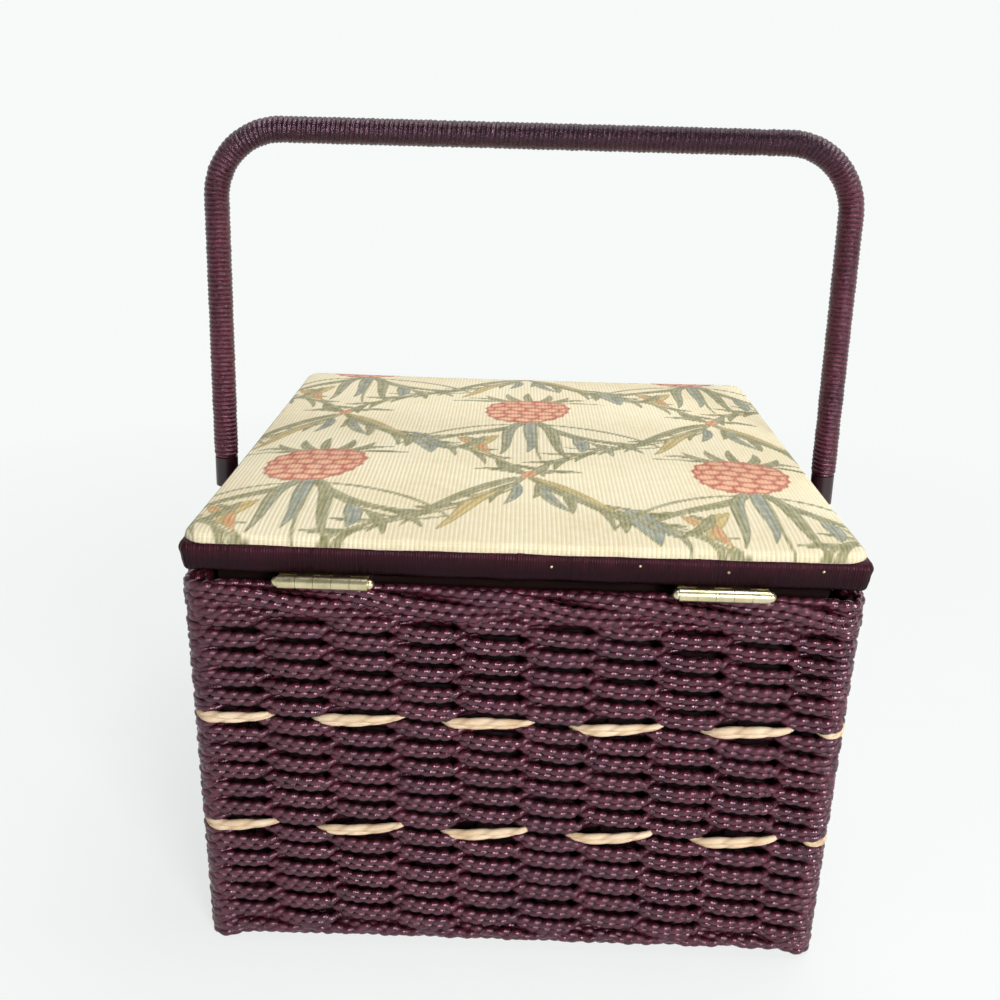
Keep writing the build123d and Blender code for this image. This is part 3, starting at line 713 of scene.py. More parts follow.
# A float of the pale pair, in the same units: it stays out for longer, climbs to the right and is
# broadest left of its middle
ACCENT_PLACES = (-1.0, -0.8, -0.64, -0.48, -0.2, 0.1, 0.4, 0.6, 0.7, 0.82, 1.0)
ACCENT_REACH = (-3.1, -2.4, 1.4, 3.4, 4.3, 4.5, 4.2, 3.2, 1.4, -2.4, -3.1)
ACCENT_HEIGHT = (0.2, -0.2, -0.6, -0.5, -0.1, 0.4, 1.0, 1.3, 1.3, 0.8, 0.2)
ACCENT_SPREAD = (0.1, 0.1, 0.3, 0.8, 1.1, 1.0, 0.6, 0.3, 0.2, 0.1, 0.1)


def accent_course(name, course):
    """A slack pair of softer pale cords, side by side at the middle of each float."""
    turns = stations(course, ACCENT_STEPS)
    part = float_part(turns, course)
    reach = curve_through(part, ACCENT_PLACES, ACCENT_REACH) * MM
    height = WEAVE_BASE + (course + 0.5) * COURSE_PITCH + wander(turns, 300 + course, ACCENT_RISE)
    height = height + curve_through(part, ACCENT_PLACES, ACCENT_HEIGHT) * MM
    apart = curve_through(part, ACCENT_PLACES, ACCENT_SPREAD) * MM
    radius = ACCENT_RADIUS * (0.8 + 0.2 * np.clip(np.cos(math.pi * part) + 0.5, 0, 1))
    pile = Pile()
    for hand in (1, -1):
        uneven = 1 + wander(turns, 310 + course + hand, ACCENT_UNEVEN)
        centres = place_cord(turns, reach + hand * 0.3 * MM, height + hand * apart)
        cord_loop(pile, centres, radius * uneven, ACCENT_BEAD, ACCENT_LOBE, start=0.4 * (hand > 0))
    finish_piece(pile, "cord_" + name, PALE_CORD, "cord_beige", "basket", name)


plum_courses("weave_lower", range(0, ACCENTS[0]))
accent_course("accent_course_lower", ACCENTS[0])
plum_courses("weave_middle", range(ACCENTS[0] + 1, ACCENTS[1]))
accent_course("accent_course_upper", ACCENTS[1])
plum_courses("weave_upper", range(ACCENTS[1] + 1, COURSES))

ROPE_STEPS = 26
ROPE_PRESS = 0.6
ROPE_UNEVEN = 0.2 * MM
LEVEL_UNEVEN = 0.25 * MM
ALL_ROUND = np.arange(4 * COLUMNS * ROPE_STEPS) / ROPE_STEPS  # turns of the rings of a border's cords


def rope(pile, low, high, columns_per_lay, reach, out, up, seed):
    """Two strands, each a pair of twisted cords, laid round one another."""
    for strand in (0, 1):
        phase = TAU * ALL_ROUND / columns_per_lay + strand * math.pi
        drift = wander(ALL_ROUND, seed + strand, ROPE_UNEVEN)
        for hand in (1, -1):
            sideways = hand * PAIR_SPREAD
            aside = reach + out * np.sin(phase) + sideways * np.cos(phase) * ROPE_PRESS
            height = (low + high) / 2 + up * np.cos(phase) - sideways * np.sin(phase) + drift
            height = np.clip(height, low + CORD_RADIUS, high - CORD_RADIUS)
            centres = place_cord(ALL_ROUND, aside, height)
            cord_loop(pile, centres, start=0.5 * (hand > 0))


def flat_pair(pile, height, reach, lean, seed):
    """A pair of cords that runs level round the basket; `lean`, in radians, turns it from upright
    towards flat."""
    drift = wander(ALL_ROUND, seed, LEVEL_UNEVEN)
    for hand in (1, -1):
        aside = reach + hand * PAIR_SPREAD * math.sin(lean) + 0 * ALL_ROUND
        centres = place_cord(ALL_ROUND, aside, height + drift + hand * PAIR_SPREAD * math.cos(lean))
        cord_loop(pile, centres, start=0.5 * (hand > 0))


BAND_EVERY = 2  # columns from one band of the top border to the next
BAND_FIRST = 0.7  # columns from the first stake to the first band
BAND_LENGTH = 4.2  # columns from where a band starts inside to where it ends inside
BAND_STEPS = 112
BAND_RADIUS = 2.05 * MM
BAND_SPREAD = 1.62 * MM
BAND_PRESS = 0.8
BAND_UNEVEN = 0.4 * MM


def top_bands(pile, low, high):
    """Pairs of cords that come over the top edge, run down to the right across the outside, and go
    in under the next ones."""
    part = np.linspace(0, 1, BAND_STEPS)
    out = MM * curve_through(part, (0, 0.1, 0.26, 0.5, 0.7, 0.86, 1), (-2.5, 0.2, 3.2, 5.1, 4.4, 1.0, -2.6))
    place = curve_through(part, (0, 0.12, 0.34, 0.7, 0.86, 1), (0.70, 0.78, 0.72, 0.28, 0.20, 0.30))
    lean = np.radians(curve_through(part, (0, 0.16, 0.3, 0.74, 0.88, 1), (60, 34, 14, -4, -40, -70)))
    for band in range(4 * COLUMNS // BAND_EVERY):
        turns = band * BAND_EVERY + BAND_FIRST + part * BAND_LENGTH
        drift = wander(turns, 500, BAND_UNEVEN)
        for hand in (1, -1):
            centres = place_cord(turns, out + hand * BAND_SPREAD * np.sin(lean) * BAND_PRESS,
                                 low + place * (high - low) + drift + hand * BAND_SPREAD * np.cos(lean))
            cord_length(pile, centres, BAND_RADIUS, start=0.5 * (hand > 0) + 0.3 * band)


def build_borders():
    """The rope round the foot with pairs behind it, and the bands along the top edge."""
    foot, edge = Pile(), Pile()
    rope(foot, FLOOR_LOW.z + 3.3 * MM, FLOOR_HIGH.z, 2, 1.0 * MM, 2.1 * MM, 2.6 * MM, 400)
    for pile, height, reach, lean, seed in (
            (foot, FLOOR_LOW.z + 3.7 * MM, -0.8 * MM, 0.0, 430),
            (foot, FLOOR_HIGH.z - 2.6 * MM, -1.6 * MM, 0.0, 440),
            (foot, FLOOR_HIGH.z + 1.2 * MM, -3.4 * MM, 0.0, 450),
            (edge, BORDER_LOW.z + 1.4 * MM, 0.9 * MM, 0.0, 410),
            (edge, BORDER_HIGH.z - 2.0 * MM, -0.6 * MM, 1.2, 420)):
        flat_pair(pile, height, reach, lean, seed)
    top_bands(edge, BORDER_LOW.z, BORDER_HIGH.z)
    finish_piece(foot, "cord_bottom_border", PLUM_CORD, "cord_plum", "basket", "bottom_border")
    finish_piece(edge, "cord_top_border", PLUM_CORD, "cord_plum", "basket", "top_border")


build_borders()


# ------------------------------------------------------------ lid rim
RIM_FLARE = 1.2 * MM
RIM_CORNER = 4.0 * MM
THREAD_PITCH = 0.95 * MM
THREAD_RISE = 0.10 * MM
THREAD_STEPS = 3
THREAD_UNEVEN = 0.07 * MM
RIM_UNEVEN = 0.35 * MM
RIM_SEAT = 0.8 * MM  # how far the rim's inner lip stands in from the cover's edge
RIM_FOOT_ROUND = 2.2 * MM
RIM_TOP_ROUND = 3.2 * MM
RIM_LIP = 1.4 * MM  # depth of the rim's inner lip
RIM_FLANGE = 12.6 * MM  # how far the winding reaches in under the frame
RIM_WALL = 1.0 * MM  # thickness there


def arc_points(centre_out, centre_up, radius, start, stop, count):
    """Profile points (out, up, ribbed) round an arc, angles in degrees from straight out."""
    angles = np.radians(np.linspace(start, stop, count))
    return [(centre_out + radius * math.cos(a), centre_up + radius * math.sin(a), 1.0) for a in angles]


def build_rim():
    """Thread wound over the lid frame: ribs along the outside, plain where it meets the frame."""
    bottom, top = RIM_LOW.z, RIM_HIGH.z
    height = top - bottom
    half = RIM_HIGH.x
    lip = COVER_HIGH.x - RIM_SEAT - half
    slope = RIM_FLARE / height
    profile = arc_points(-RIM_FLARE - RIM_FOOT_ROUND, bottom + RIM_FOOT_ROUND, RIM_FOOT_ROUND, -90, 0, 5)
    profile += [(-RIM_FLARE + slope * up, bottom + up, 1.0) for up in (4 * MM, 6.5 * MM)]
    profile += arc_points(-RIM_TOP_ROUND, top - RIM_TOP_ROUND, RIM_TOP_ROUND, 0, 90, 7)
    profile += [(lip, top - 0.1 * MM, 1.0), (lip, top - RIM_LIP, 0.0), (-RIM_TOP_ROUND, top - RIM_LIP, 0.0),
                (-RIM_TOP_ROUND, bottom + RIM_WALL, 0.0), (-RIM_FLANGE, bottom + RIM_WALL, 0.0),
                (-RIM_FLANGE, bottom, 1.0)]
    out, up, ribbed = np.array(profile).T
    length = 8 * (half - RIM_CORNER) + TAU * RIM_CORNER
    threads = round(length / THREAD_PITCH)
    count = threads * THREAD_STEPS
    along = np.arange(count) / count * length
    plan, normal = rounded_square(half, RIM_CORNER, along)
    rib = np.sin(math.pi * np.arange(count) / THREAD_STEPS) ** 2 * THREAD_RISE
    draw = np.random.default_rng(31)
    uneven = np.repeat(draw.normal(0, THREAD_UNEVEN, threads), THREAD_STEPS)
    uneven = uneven + wander(along / length * 4 * COLUMNS, 33, RIM_UNEVEN)
    relief = (rib + uneven)[:, None] * ribbed[None, :]
    reach = out[None, :] + relief
    rings = np.empty((count, len(profile), 3))
    rings[..., :2] = plan[:, None] + normal[:, None] * reach[..., None]
    rings[..., 2] = up[None, :]
    uv = uv_grid(np.arange(count + 1) / THREAD_STEPS, np.arange(len(profile) + 1) / len(profile))
    pile = Pile()
    pile.grid(rings, closed_rows=True, closed_columns=True, uv=uv)
    finish_piece(pile, "wound_rim", THREAD, "thread_plum", "lid", "rim_wrap")


build_rim()


# ------------------------------------------------------------ tapestry pattern
REPEAT_X = 182.0  # the pattern's half-drop repeat, in mm
REPEAT_Y = 180.0
FIRST_BERRY = (-90.0, -50.0)
CROSSING_DROP = 99.0  # from a berry down to the crossing under it
BERRY = (20.5, 21.0)  # half its width and half its height

# Leaves of the motifs, in the order in which they are laid: form, yarn, x and y of each control point
# in mm from the motif's middle, half width, tone from 0 to 1, and a blade's bow
SPRAY = (
    # long side arcs, first the ones behind
    ("strand", "leaf", (4, -23, 24, -25, 48, -34, 62, -56), 1.0, 0.3),
    ("strand", "leaf", (-4, -24, -24, -26, -44, -38, -58, -60), 0.9, 0.4),
    ("strap", "leaf", (-1, -22, -14, -40, -34, -40, -46, -58), 2.3, 0.25),
    ("strand", "leaf", (-10, -34, -26, -46, -40, -44, -56, -50), 0.8, 0.2),
    ("strap", "leaf", (5, -22, 18, -44, 34, -52, 52, -50), 2.5, 0.3),
    ("strand", "leaf", (12, -32, 24, -54, 44, -62, 60, -54), 0.8, 0.2),
    # small leaves that hang from them
    ("blade", "ochre", (-14, -44, -23, -68), 3.6, 0.25, -0.2),
    ("blade", "leaf", (-20, -46, -35, -66), 2.4, 0.2, 0.22),
    ("blade", "ochre", (-20, -56, -16, -72), 2.2, 0.9, -0.2),
    ("blade", "leaf", (22, -46, 24, -66), 3.4, 1.0, 0.22),
    ("blade", "leaf", (30, -52, 38, -70), 2.2, 0.35, 0.2),
    ("blade", "leaf", (40, -52, 52, -64), 1.6, 0.2, 0.2),
    # the three straps in the middle
    ("strap", "leaf", (6, -20, 16, -38, 10, -56, 18, -76), 2.7, 0.35),
    ("strap", "leaf", (-2, -20, -14, -36, -6, -54, -12, -72), 2.6, 0.6),
    ("strap", "leaf", (2, -19, 0, -38, 5, -50, 0, -68), 3.2, 0.95),
    ("strand", "leaf", (4, -20, 6, -42, 2, -54, 6, -78), 0.7, 0.4),
)
# Tip, bow and half width of each sepal
SEPALS = (((-38, 18), -0.1, 0.9), ((40, 17), 0.1, 0.9), ((-30, 24), -0.2, 1.5),
          ((31, 25), 0.2, 1.5), ((-21, 30), 0.28, 2.2), ((22, 31), -0.28, 2.2),
          ((-10, 35), 0.25, 2.3), ((12, 35), -0.25, 2.3), ((1, 38), 0.12, 2.1))
CROSSING = (
    ("strap", "leaf", (2, -2, 16, -18, 26, -34, 44, -52), 2.4, 0.3),
    ("strap", "ochre", (4, -4, 18, -14, 28, -30, 36, -40), 1.7, 0.15),
    ("strap", "leaf", (-2, -2, -18, -12, -30, -28, -46, -50), 2.4, 0.25),
    ("strap", "ochre", (-12, -18, -24, -30, -24, -42, -34, -56), 2.8, 0.35),
    ("strand", "leaf", (-8, -12, -24, -34, -34, -40, -50, -44), 0.8, 0.2),
    ("strand", "leaf", (10, -14, 26, -38, 38, -42, 54, -40), 0.8, 0.2),
    ("blade", "leaf", (6, -12, 17, -38), 2.5, 0.8, -0.18),
    ("blade", "leaf", (-4, -10, -9, -32), 2.2, 0.95, 0.16),
    ("blade", "leaf", (2, 2, 24, 5), 1.8, 0.4, 0.22),
    ("blade", "leaf", (-2, 2, -22, 7), 1.8, 0.3, -0.22),
    ("blade", "leaf", (0, 2, 9, 17), 1.9, 0.5, -0.22),
    ("blade", "leaf", (-1, 3, -11, 16), 1.7, 0.3, 0.22),
    ("blade", "ochre", (2, 6, -3, -4), 2.8, 1.0, 0.2),
)
BUD = (
    ("blade", "leaf", (-7, 13, 3, -16), 5.2, 1.0, 0.12),
    ("blade", "leaf", (-2, 12, 10, -10), 3.2, 0.8, -0.2),
    ("blade", "leaf", (-10, 10, -9, -8), 2.2, 0.3, 0.1),
    ("blade", "ochre", (14, 8, 24, -7), 2.8, 0.8, 0.1),
    ("blade", "leaf", (17, 9, 29, 1), 1.6, 0.4, -0.1),
)


def bezier(*controls, count=28):
    """Points along a Bezier curve of any degree."""
    t = np.linspace(0, 1, count)[:, None]
    points = [np.asarray(c, float)[None, :] for c in controls]
    while len(points) > 1:
        points = [a * (1 - t) + b * t for a, b in zip(points, points[1:])]
    return points[0]


class Loom:
    """Yarn masks on the cloth's grid of points. Each stroke covers what lies under it."""

    MASKS = ("leaf", "tone", "ochre", "berry", "pale", "line")

    def __init__(self, x, y):
        self.x, self.y = x, y
        self.masks = {name: np.zeros_like(x) for name in self.MASKS}

    def near(self, points, reach):
        low, high = points.min(0) - reach, points.max(0) + reach
        in_x, in_y = (self.x > low[0]) & (self.x < high[0]), (self.y > low[1]) & (self.y < high[1])
        return np.nonzero(in_x & in_y)

    def lay(self, spot, cover, **values):
        """Covers the masks at `spot`: the named ones take their value and the rest are cleared."""
        for name, mask in self.masks.items():
            value = values.get(name, 0.0)
            mask[spot] = mask[spot] * (1 - cover) + value * cover

    def stroke(self, points, width, kind="leaf", tone=0.5, vein=0.5, edge=0.55, soft=0.6):
        """A blade along `points`; width gives its half width from root (0) to tip (1)."""
        spot = self.near(points, 12)
        if not len(spot[0]):
            return
        px, py = self.x[spot], self.y[spot]
        best, side, place = np.full(px.shape, 1e9), np.zeros(px.shape), np.zeros(px.shape)
        lengths = distances(points)
        for k, (a, b) in enumerate(zip(points, points[1:])):
            run = b - a
            size = max(run @ run, 1e-9)
            part = np.clip(((px - a[0]) * run[0] + (py - a[1]) * run[1]) / size, 0, 1)
            gap_x, gap_y = px - a[0] - part * run[0], py - a[1] - part * run[1]
            gap = np.hypot(gap_x, gap_y)
            closer = gap < best
            best = np.where(closer, gap, best)
            side = np.where(closer, np.sign(run[0] * gap_y - run[1] * gap_x), side)
            here = (lengths[k] + part * (lengths[k + 1] - lengths[k])) / lengths[-1]
            place = np.where(closer, here, place)
        half = width(place)
        inside = half - best
        cover = blend(inside, -soft / 2, soft / 2)
        outline = blend(inside, edge + soft / 2, edge - soft / 2) * 0.85
        middle = vein * blend(best, 0.9, 0.25) * (half > 1.6)
        if kind == "leaf":
            tone = np.clip(tone + 0.16 * side, 0, 1)
        self.lay(spot, cover, line=np.maximum(outline, middle), tone=tone, **{kind: 1.0})

    def blade(self, root, tip, bow, half, **style):
        """A pointed leaf from root to tip, bowed sideways by `bow` of its length."""
        root, tip = np.asarray(root, float), np.asarray(tip, float)
        run = tip - root
        middle = (root + tip) / 2 + bow * np.array([-run[1], run[0]])
        self.stroke(bezier(root, middle, tip, count=12),
                    lambda t: half * np.sin(math.pi * np.clip(t, 0.02, 1) ** 0.75) ** 0.8 + 0.15, **style)

    def strand(self, *controls, half=0.8, **style):
        """A long thin stem that tapers at both ends."""
        self.stroke(bezier(*controls), lambda t: half * (0.45 + 0.55 * np.sin(math.pi * t) ** 0.5),
                    edge=0.3, vein=0.0, **style)

    def strap(self, *controls, half=3.0, **style):
        """A broad drooping leaf, widest at a third of its length."""
        self.stroke(bezier(*controls),
                    lambda t: half * np.sin(math.pi * np.clip(t, 0.01, 1) ** 0.6) ** 0.7 + 0.2, **style)

    def fruit(self, centre, across, along):
        """A berry of rounded cells in staggered rows, paler towards its foot."""
        spot = self.near(np.array([centre]), max(across, along) * 1.3)
        if not len(spot[0]):
            return
        v = self.y[spot] - centre[1]
        u = self.x[spot] - centre[0] - 0.14 * v
        broad = across * (1 + 0.14 * np.clip(v / along, -1, 1))
        bulge = (np.abs(u / broad) ** 2.3 + np.abs(v / along) ** 2.3) ** (1 / 2.3)
        knobs = 0.030 * np.cos(np.arctan2(v, u) * 17)
        inside = (1 - bulge + knobs) * min(across, along)
        row_height, cell_width = along * 2 / 6.5, across * 2 / 5
        warped = v + 0.9 * np.sin(u / 5.0)
        row = np.floor(warped / row_height)
        shift = (row % 2) * 0.5 + 0.12 * np.sin(row * 2.4)
        cell = u / cell_width + shift + 0.08 * np.sin(v / 3.0)
        du = (cell - np.floor(cell) - 0.5) * cell_width
        dv = warped - (row + 0.5) * row_height
        pale = blend(np.hypot(du / (cell_width * 0.5), dv / (row_height * 0.46)), 1.06, 0.66)
        pale = pale * blend(inside, 0.7, 2.0) * (0.75 + 0.25 * blend(v, along, -along))
        self.lay(spot, blend(inside, -0.4, 0.4), berry=1.0, pale=pale, line=0.35 * blend(inside, 1.3, 0.3))

    def motif(self, cx, cy, leaves):
        """Lays the leaves of a table round (cx, cy)."""
        forms = {"strand": self.strand, "strap": self.strap, "blade": self.blade}
        for form, yarn, points, half, tone, *bow in leaves:
            controls = [(cx + x, cy + y) for x, y in zip(points[::2], points[1::2])]
            forms[form](*controls, *bow, half=half, kind=yarn, tone=tone)

    def berry_spray(self, cx, cy):
        """A berry with its crown of sepals and the fan of leaves under it."""
        self.motif(cx, cy, SPRAY)
        for (x, y), bow, half in SEPALS:
            self.blade((cx + 0.3 * x + 2, cy + 17), (cx + x, cy + y), bow, half, tone=0.3)
        self.fruit((cx, cy), *BERRY)

    def vine(self, start, end, sway, seed):
        """A stem from one crossing to the next, with small leaves on both sides of it and a tendril
        beside it."""
        draw = np.random.default_rng(seed)
        start, end = np.asarray(start, float), np.asarray(end, float)
        run = end - start
        across = np.array([-run[1], run[0]])
        controls = (start, start + 0.38 * run + sway * across, end - 0.38 * run - sway * across, end)
        path = bezier(*controls, count=64)
        heading = unit(np.gradient(path, axis=0))
        for k, step in enumerate(range(4, 60, 4)):
            hand = 1 if k % 2 else -1
            swing = math.radians(hand * draw.uniform(16, 38))
            ahead = heading[step]
            turned = np.array([ahead[0] * math.cos(swing) - ahead[1] * math.sin(swing),
                               ahead[0] * math.sin(swing) + ahead[1] * math.cos(swing)])
            tip = path[step] + turned * draw.uniform(12, 22)
            self.blade(path[step], tip, -0.15 * hand, draw.uniform(1.1, 1.9), tone=draw.uniform(0.1, 0.6))
        self.stroke(path, lambda t: 1.0 + 0.25 * np.sin(9 * t), tone=0.3, vein=0.0, edge=0.35)
        beside = path + 2.6 * np.stack([-heading[:, 1], heading[:, 0]], 1)
        self.stroke(beside[6:-10], lambda t: 0.5 + 0 * t, tone=0.2, vein=0.0, edge=0.3)

    def weave(self):
        """The whole trellis: vines and crossings first, then buds and berries over them."""
        cells = [(FIRST_BERRY[0] + REPEAT_X * (i + 0.5 * (j % 2)), FIRST_BERRY[1] + REPEAT_Y * 0.5 * j)
                 for j in range(-3, 4) for i in range(-2, 3)]
        half_x, half_y = REPEAT_X / 2, REPEAT_Y / 2
        for cx, cy in cells:
            joint = (cx, cy - CROSSING_DROP)
            for hand, seed in ((-1, 3), (1, 4)):
                self.vine(joint, (cx + hand * half_x, joint[1] - half_y), -0.15 * hand, seed)
        for cx, cy in cells:
            self.motif(cx, cy - CROSSING_DROP, CROSSING)
            self.motif(cx + half_x * 0.5, cy - CROSSING_DROP - half_y * 0.52, BUD)
        for cx, cy in cells:
            if cy > FIRST_BERRY[1] - 1:
                self.berry_spray(cx, cy)
        return self.masks


# ------------------------------------------------------------ padded lid cover
CLOTH_OUT = 125.2 * MM  # the cloth bulges this far out over the wound rim
CLOTH_CORNER = 8.0 * MM
CLOTH_ROLL = 2.6 * MM  # radius of the cloth's edge
CROWN = 4.6 * MM  # most that the padding swells
CLOTH_SHARE = 0.9  # how much of the blown-up top the cloth takes its shape from
PAD_CORE = 16.0 * MM  # depth of the block that is blown up; only its top is used
FOAM_SLOPE = 2.6 * MM  # of the foam's chamfered edge
FOAM_ROOM = 0.1 * MM  # between the foam and the cover's underside
EDGE_ROOM = 0.1 * MM  # by which the cover's sides and rim stay inside the CAD ones
SLACK = 0.7 * MM  # how far the cloth sags towards its edge
SLACK_REACH = 14 * MM
PAD_VOXEL = 5.0 * MM
PAD_MARGIN = 3.0 * MM  # from a blown-up block's edge to the grid of heights
RIBS = 146  # ribs of the cloth, front to back
RIB_POINTS = 3
CLOTH_ROWS = 206
RIB_RELIEF = 0.09 * MM
WEFT_PITCH = 0.62 * MM
YARN_RELIEF = 0.10 * MM  # how far coloured yarn stands up


def square_to_rounded(x, y, half, radius):
    """Moves the corners of a square grid in, so that its outline has rounded corners."""
    inner = half - radius
    over_x = np.clip((np.abs(x) - inner) / radius, 0, 1)
    over_y = np.clip((np.abs(y) - inner) / radius, 0, 1)
    return [np.where(over > 0, np.sign(place) * (inner + radius * over * np.sqrt(1 - other**2 / 2)), place)
            for place, over, other in ((x, over_x, over_y), (y, over_y, over_x))]


def block_mesh(low, high):
    sculpt = bmesh.new()
    bmesh.ops.create_cube(sculpt, size=1)
    middle, size = (Vector(low) + Vector(high)) / 2, Vector(high) - Vector(low)
    for vertex in sculpt.verts:
        vertex.co = Vector(a * b for a, b in zip(vertex.co, size)) + middle
    return sculpt


CLOTH_FRAMES = 20
PRESSURE = 4.0
CLOTH_SETTINGS = {"quality": 6, "mass": 0.15, "tension_stiffness": 12, "compression_stiffness": 12,
                  "bending_stiffness": 0.4, "use_pressure": True, "uniform_pressure_force": PRESSURE}


def swollen(low, high, cap, voxel, held):
    """Points and faces of a block blown up by a cloth simulation. `held` says which points stay put,
    and no point moves further than `cap`."""
    mesh = bpy.data.meshes.new("pad")
    sculpt = block_mesh(low, high)
    sculpt.to_mesh(mesh)
    sculpt.free()
    pad = add_object("pad", mesh)
    remesh = pad.modifiers.new("remesh", "REMESH")
    remesh.mode = "VOXEL"
    remesh.voxel_size = voxel
    bpy.context.view_layer.update()
    shape = bpy.data.meshes.new_from_object(pad.evaluated_get(bpy.context.evaluated_depsgraph_get()))
    pad.modifiers.clear()
    pad.data = shape
    rest = np.empty(len(shape.vertices) * 3)
    shape.vertices.foreach_get("co", rest)
    rest = rest.reshape(-1, 3)
    group = pad.vertex_groups.new(name="held")
    group.add(np.nonzero(held(rest))[0].tolist(), 1.0, "REPLACE")
    cloth = pad.modifiers.new("cloth", "CLOTH")
    for key, value in CLOTH_SETTINGS.items():
        setattr(cloth.settings, key, value)
    cloth.settings.vertex_group_mass = "held"
    cloth.settings.effector_weights.gravity = 0
    cloth.collision_settings.use_collision = False
    scene = bpy.context.scene
    scene.frame_start, scene.frame_end = 1, CLOTH_FRAMES
    for step in range(1, CLOTH_FRAMES + 1):
        scene.frame_set(step)
    result = pad.evaluated_get(bpy.context.evaluated_depsgraph_get())
    moved = np.empty(len(result.data.vertices) * 3)
    result.data.vertices.foreach_get("co", moved)
    moved = moved.reshape(-1, 3)
    scene.frame_set(1)
    shift = moved - rest
    length = np.linalg.norm(shift, axis=1, keepdims=True)
    shift = shift * np.where(length > 0, cap * np.tanh(length / cap) / np.maximum(length, 1e-9), 1)
    faces = [tuple(face.vertices) for face in shape.polygons]
    bpy.data.objects.remove(pad)
    return rest + shift, faces


def height_over(points, faces, half_x, half_y, count):
    """Heights of the top of a mesh on a grid of count by count points, smoothed."""
    tree = BVHTree.FromPolygons([Vector(p) for p in points], faces)
    heights = np.zeros((count, count))
    for i, x in enumerate(np.linspace(-half_x, half_x, count)):
        for j, y in enumerate(np.linspace(-half_y, half_y, count)):
            hit = tree.ray_cast(Vector((x, y, 1)), Vector((0, 0, -1)))[0]
            heights[i, j] = hit.z if hit else np.nan
    heights = np.where(np.isnan(heights), np.nanmin(heights), heights)
    for _ in range(3):
        edged = np.pad(heights, 1, mode="edge")
        beside = edged[:-2, 1:-1], edged[2:, 1:-1], edged[1:-1, :-2], edged[1:-1, 2:]
        heights = (4 * heights + sum(beside)) / 8
    return heights


def sample(heights, half_x, half_y, x, y):
    """Smooth interpolation of a grid of heights."""
    count = len(heights)
    u = np.clip((x + half_x) / (2 * half_x) * (count - 1), 0, count - 1.001)
    v = np.clip((y + half_y) / (2 * half_y) * (count - 1), 0, count - 1.001)
    i, j = u.astype(int), v.astype(int)
    a, b = u - i, v - j
    return (heights[i, j] * (1 - a) * (1 - b) + heights[i + 1, j] * a * (1 - b)
            + heights[i, j + 1] * (1 - a) * b + heights[i + 1, j + 1] * a * b)


def rounded_distance(x, y, half, radius):
    """How far inside a rounded square each point is."""
    qx, qy = np.abs(x) - (half - radius), np.abs(y) - (half - radius)
    outside = np.hypot(np.maximum(qx, 0), np.maximum(qy, 0))
    return radius - outside - np.minimum(np.maximum(qx, qy), 0)


def roll_off(inside, radius):
    """How far a rounded edge drops at points that lie that far `inside` the outline."""
    return radius - np.sqrt(np.maximum(radius**2 - np.clip(radius - inside, 0, None) ** 2, 0))


def tapestry_paint():
    """Ribbed cloth whose yarns are chosen by the masks that Loom leaves on the mesh. It has painted
    shade towards the hinges and in the grooves between its ribs."""
    paint = Paint("tapestry")
    mask = {name: paint.node("ShaderNodeAttribute", attribute_name=name).outputs["Fac"]
            for name in Loom.MASKS}
    x, y = paint.axes(paint.coordinates())[:2]
    rib = paint.math("SINE", paint.math("MULTIPLY", x, TAU * RIBS / (2 * CLOTH_OUT)))
    pick = paint.math("SINE", paint.math("MULTIPLY", y, TAU / WEFT_PITCH))
    twist = paint.noise(1300.0, 2.0)
    slub = paint.noise(240.0, 3.0)
    cast = paint.noise(16.0, 3.0)
    colour = paint.tones(cast, (0.84, 0.72, 0.46), (0.92, 0.84, 0.60))
    colour = paint.mix(paint.remap(slub, 0.35, 0.75, 0.0, 0.5), colour, (0.96, 0.90, 0.70))
    # painted shade, darker towards the hinges
    painted_light_ramp = paint.remap(y, -CLOTH_OUT, -0.4 * CLOTH_OUT, 0.80, 0.98)
    colour = paint.mix(1.0, colour, painted_light_ramp, "MULTIPLY")
    leaf = paint.ramp(mask["tone"], (0.0, (0.21, 0.21, 0.080)), (0.5, (0.27, 0.28, 0.150)),
                      (1.0, (0.20, 0.26, 0.26)))
    dried = paint.ramp(mask["tone"], (0.0, (0.52, 0.42, 0.125)), (0.6, (0.60, 0.40, 0.14)),
                       (1.0, (0.66, 0.25, 0.10)))
    fruit = paint.mix(mask["pale"], (0.47, 0.085, 0.055), (0.84, 0.46, 0.29))
    broken = paint.remap(slub, 0.3, 0.72, 1.0, 0.62)
    dense = paint.remap(slub, 0.3, 0.75, 1.0, 0.82)
    thin = paint.remap(twist, 0.3, 0.7, 0.85, 0.55)
    edge = paint.mix(mask["berry"], (0.085, 0.088, 0.040), (0.27, 0.038, 0.030))
    for yarn, cover, dye in (("leaf", broken, leaf), ("ochre", broken, dried), ("berry", dense, fruit),
                             ("line", thin, edge)):
        colour = paint.mix(paint.math("MULTIPLY", mask[yarn], cover), colour, dye)
    # painted shade in the grooves between the ribs
    groove_shade = paint.remap(rib, -1.0, -0.2, 0.34, 0.0)
    colour = paint.mix(groove_shade, colour, (0.42, 0.30, 0.13))
    grain = paint.math("MULTIPLY_ADD", pick, 0.35, paint.math("ADD", rib, twist))
    normal = paint.bump(grain, 0.35, 0.00022)
    normal = paint.bump(slub, 0.2, 0.0003, normal)
    return paint.set(Base_Color=colour, Roughness=paint.remap(twist, 0.3, 0.7, 0.82, 0.95),
                     Normal=normal, Specular_IOR_Level=0.2, Sheen_Weight=0.12, Sheen_Roughness=0.5)


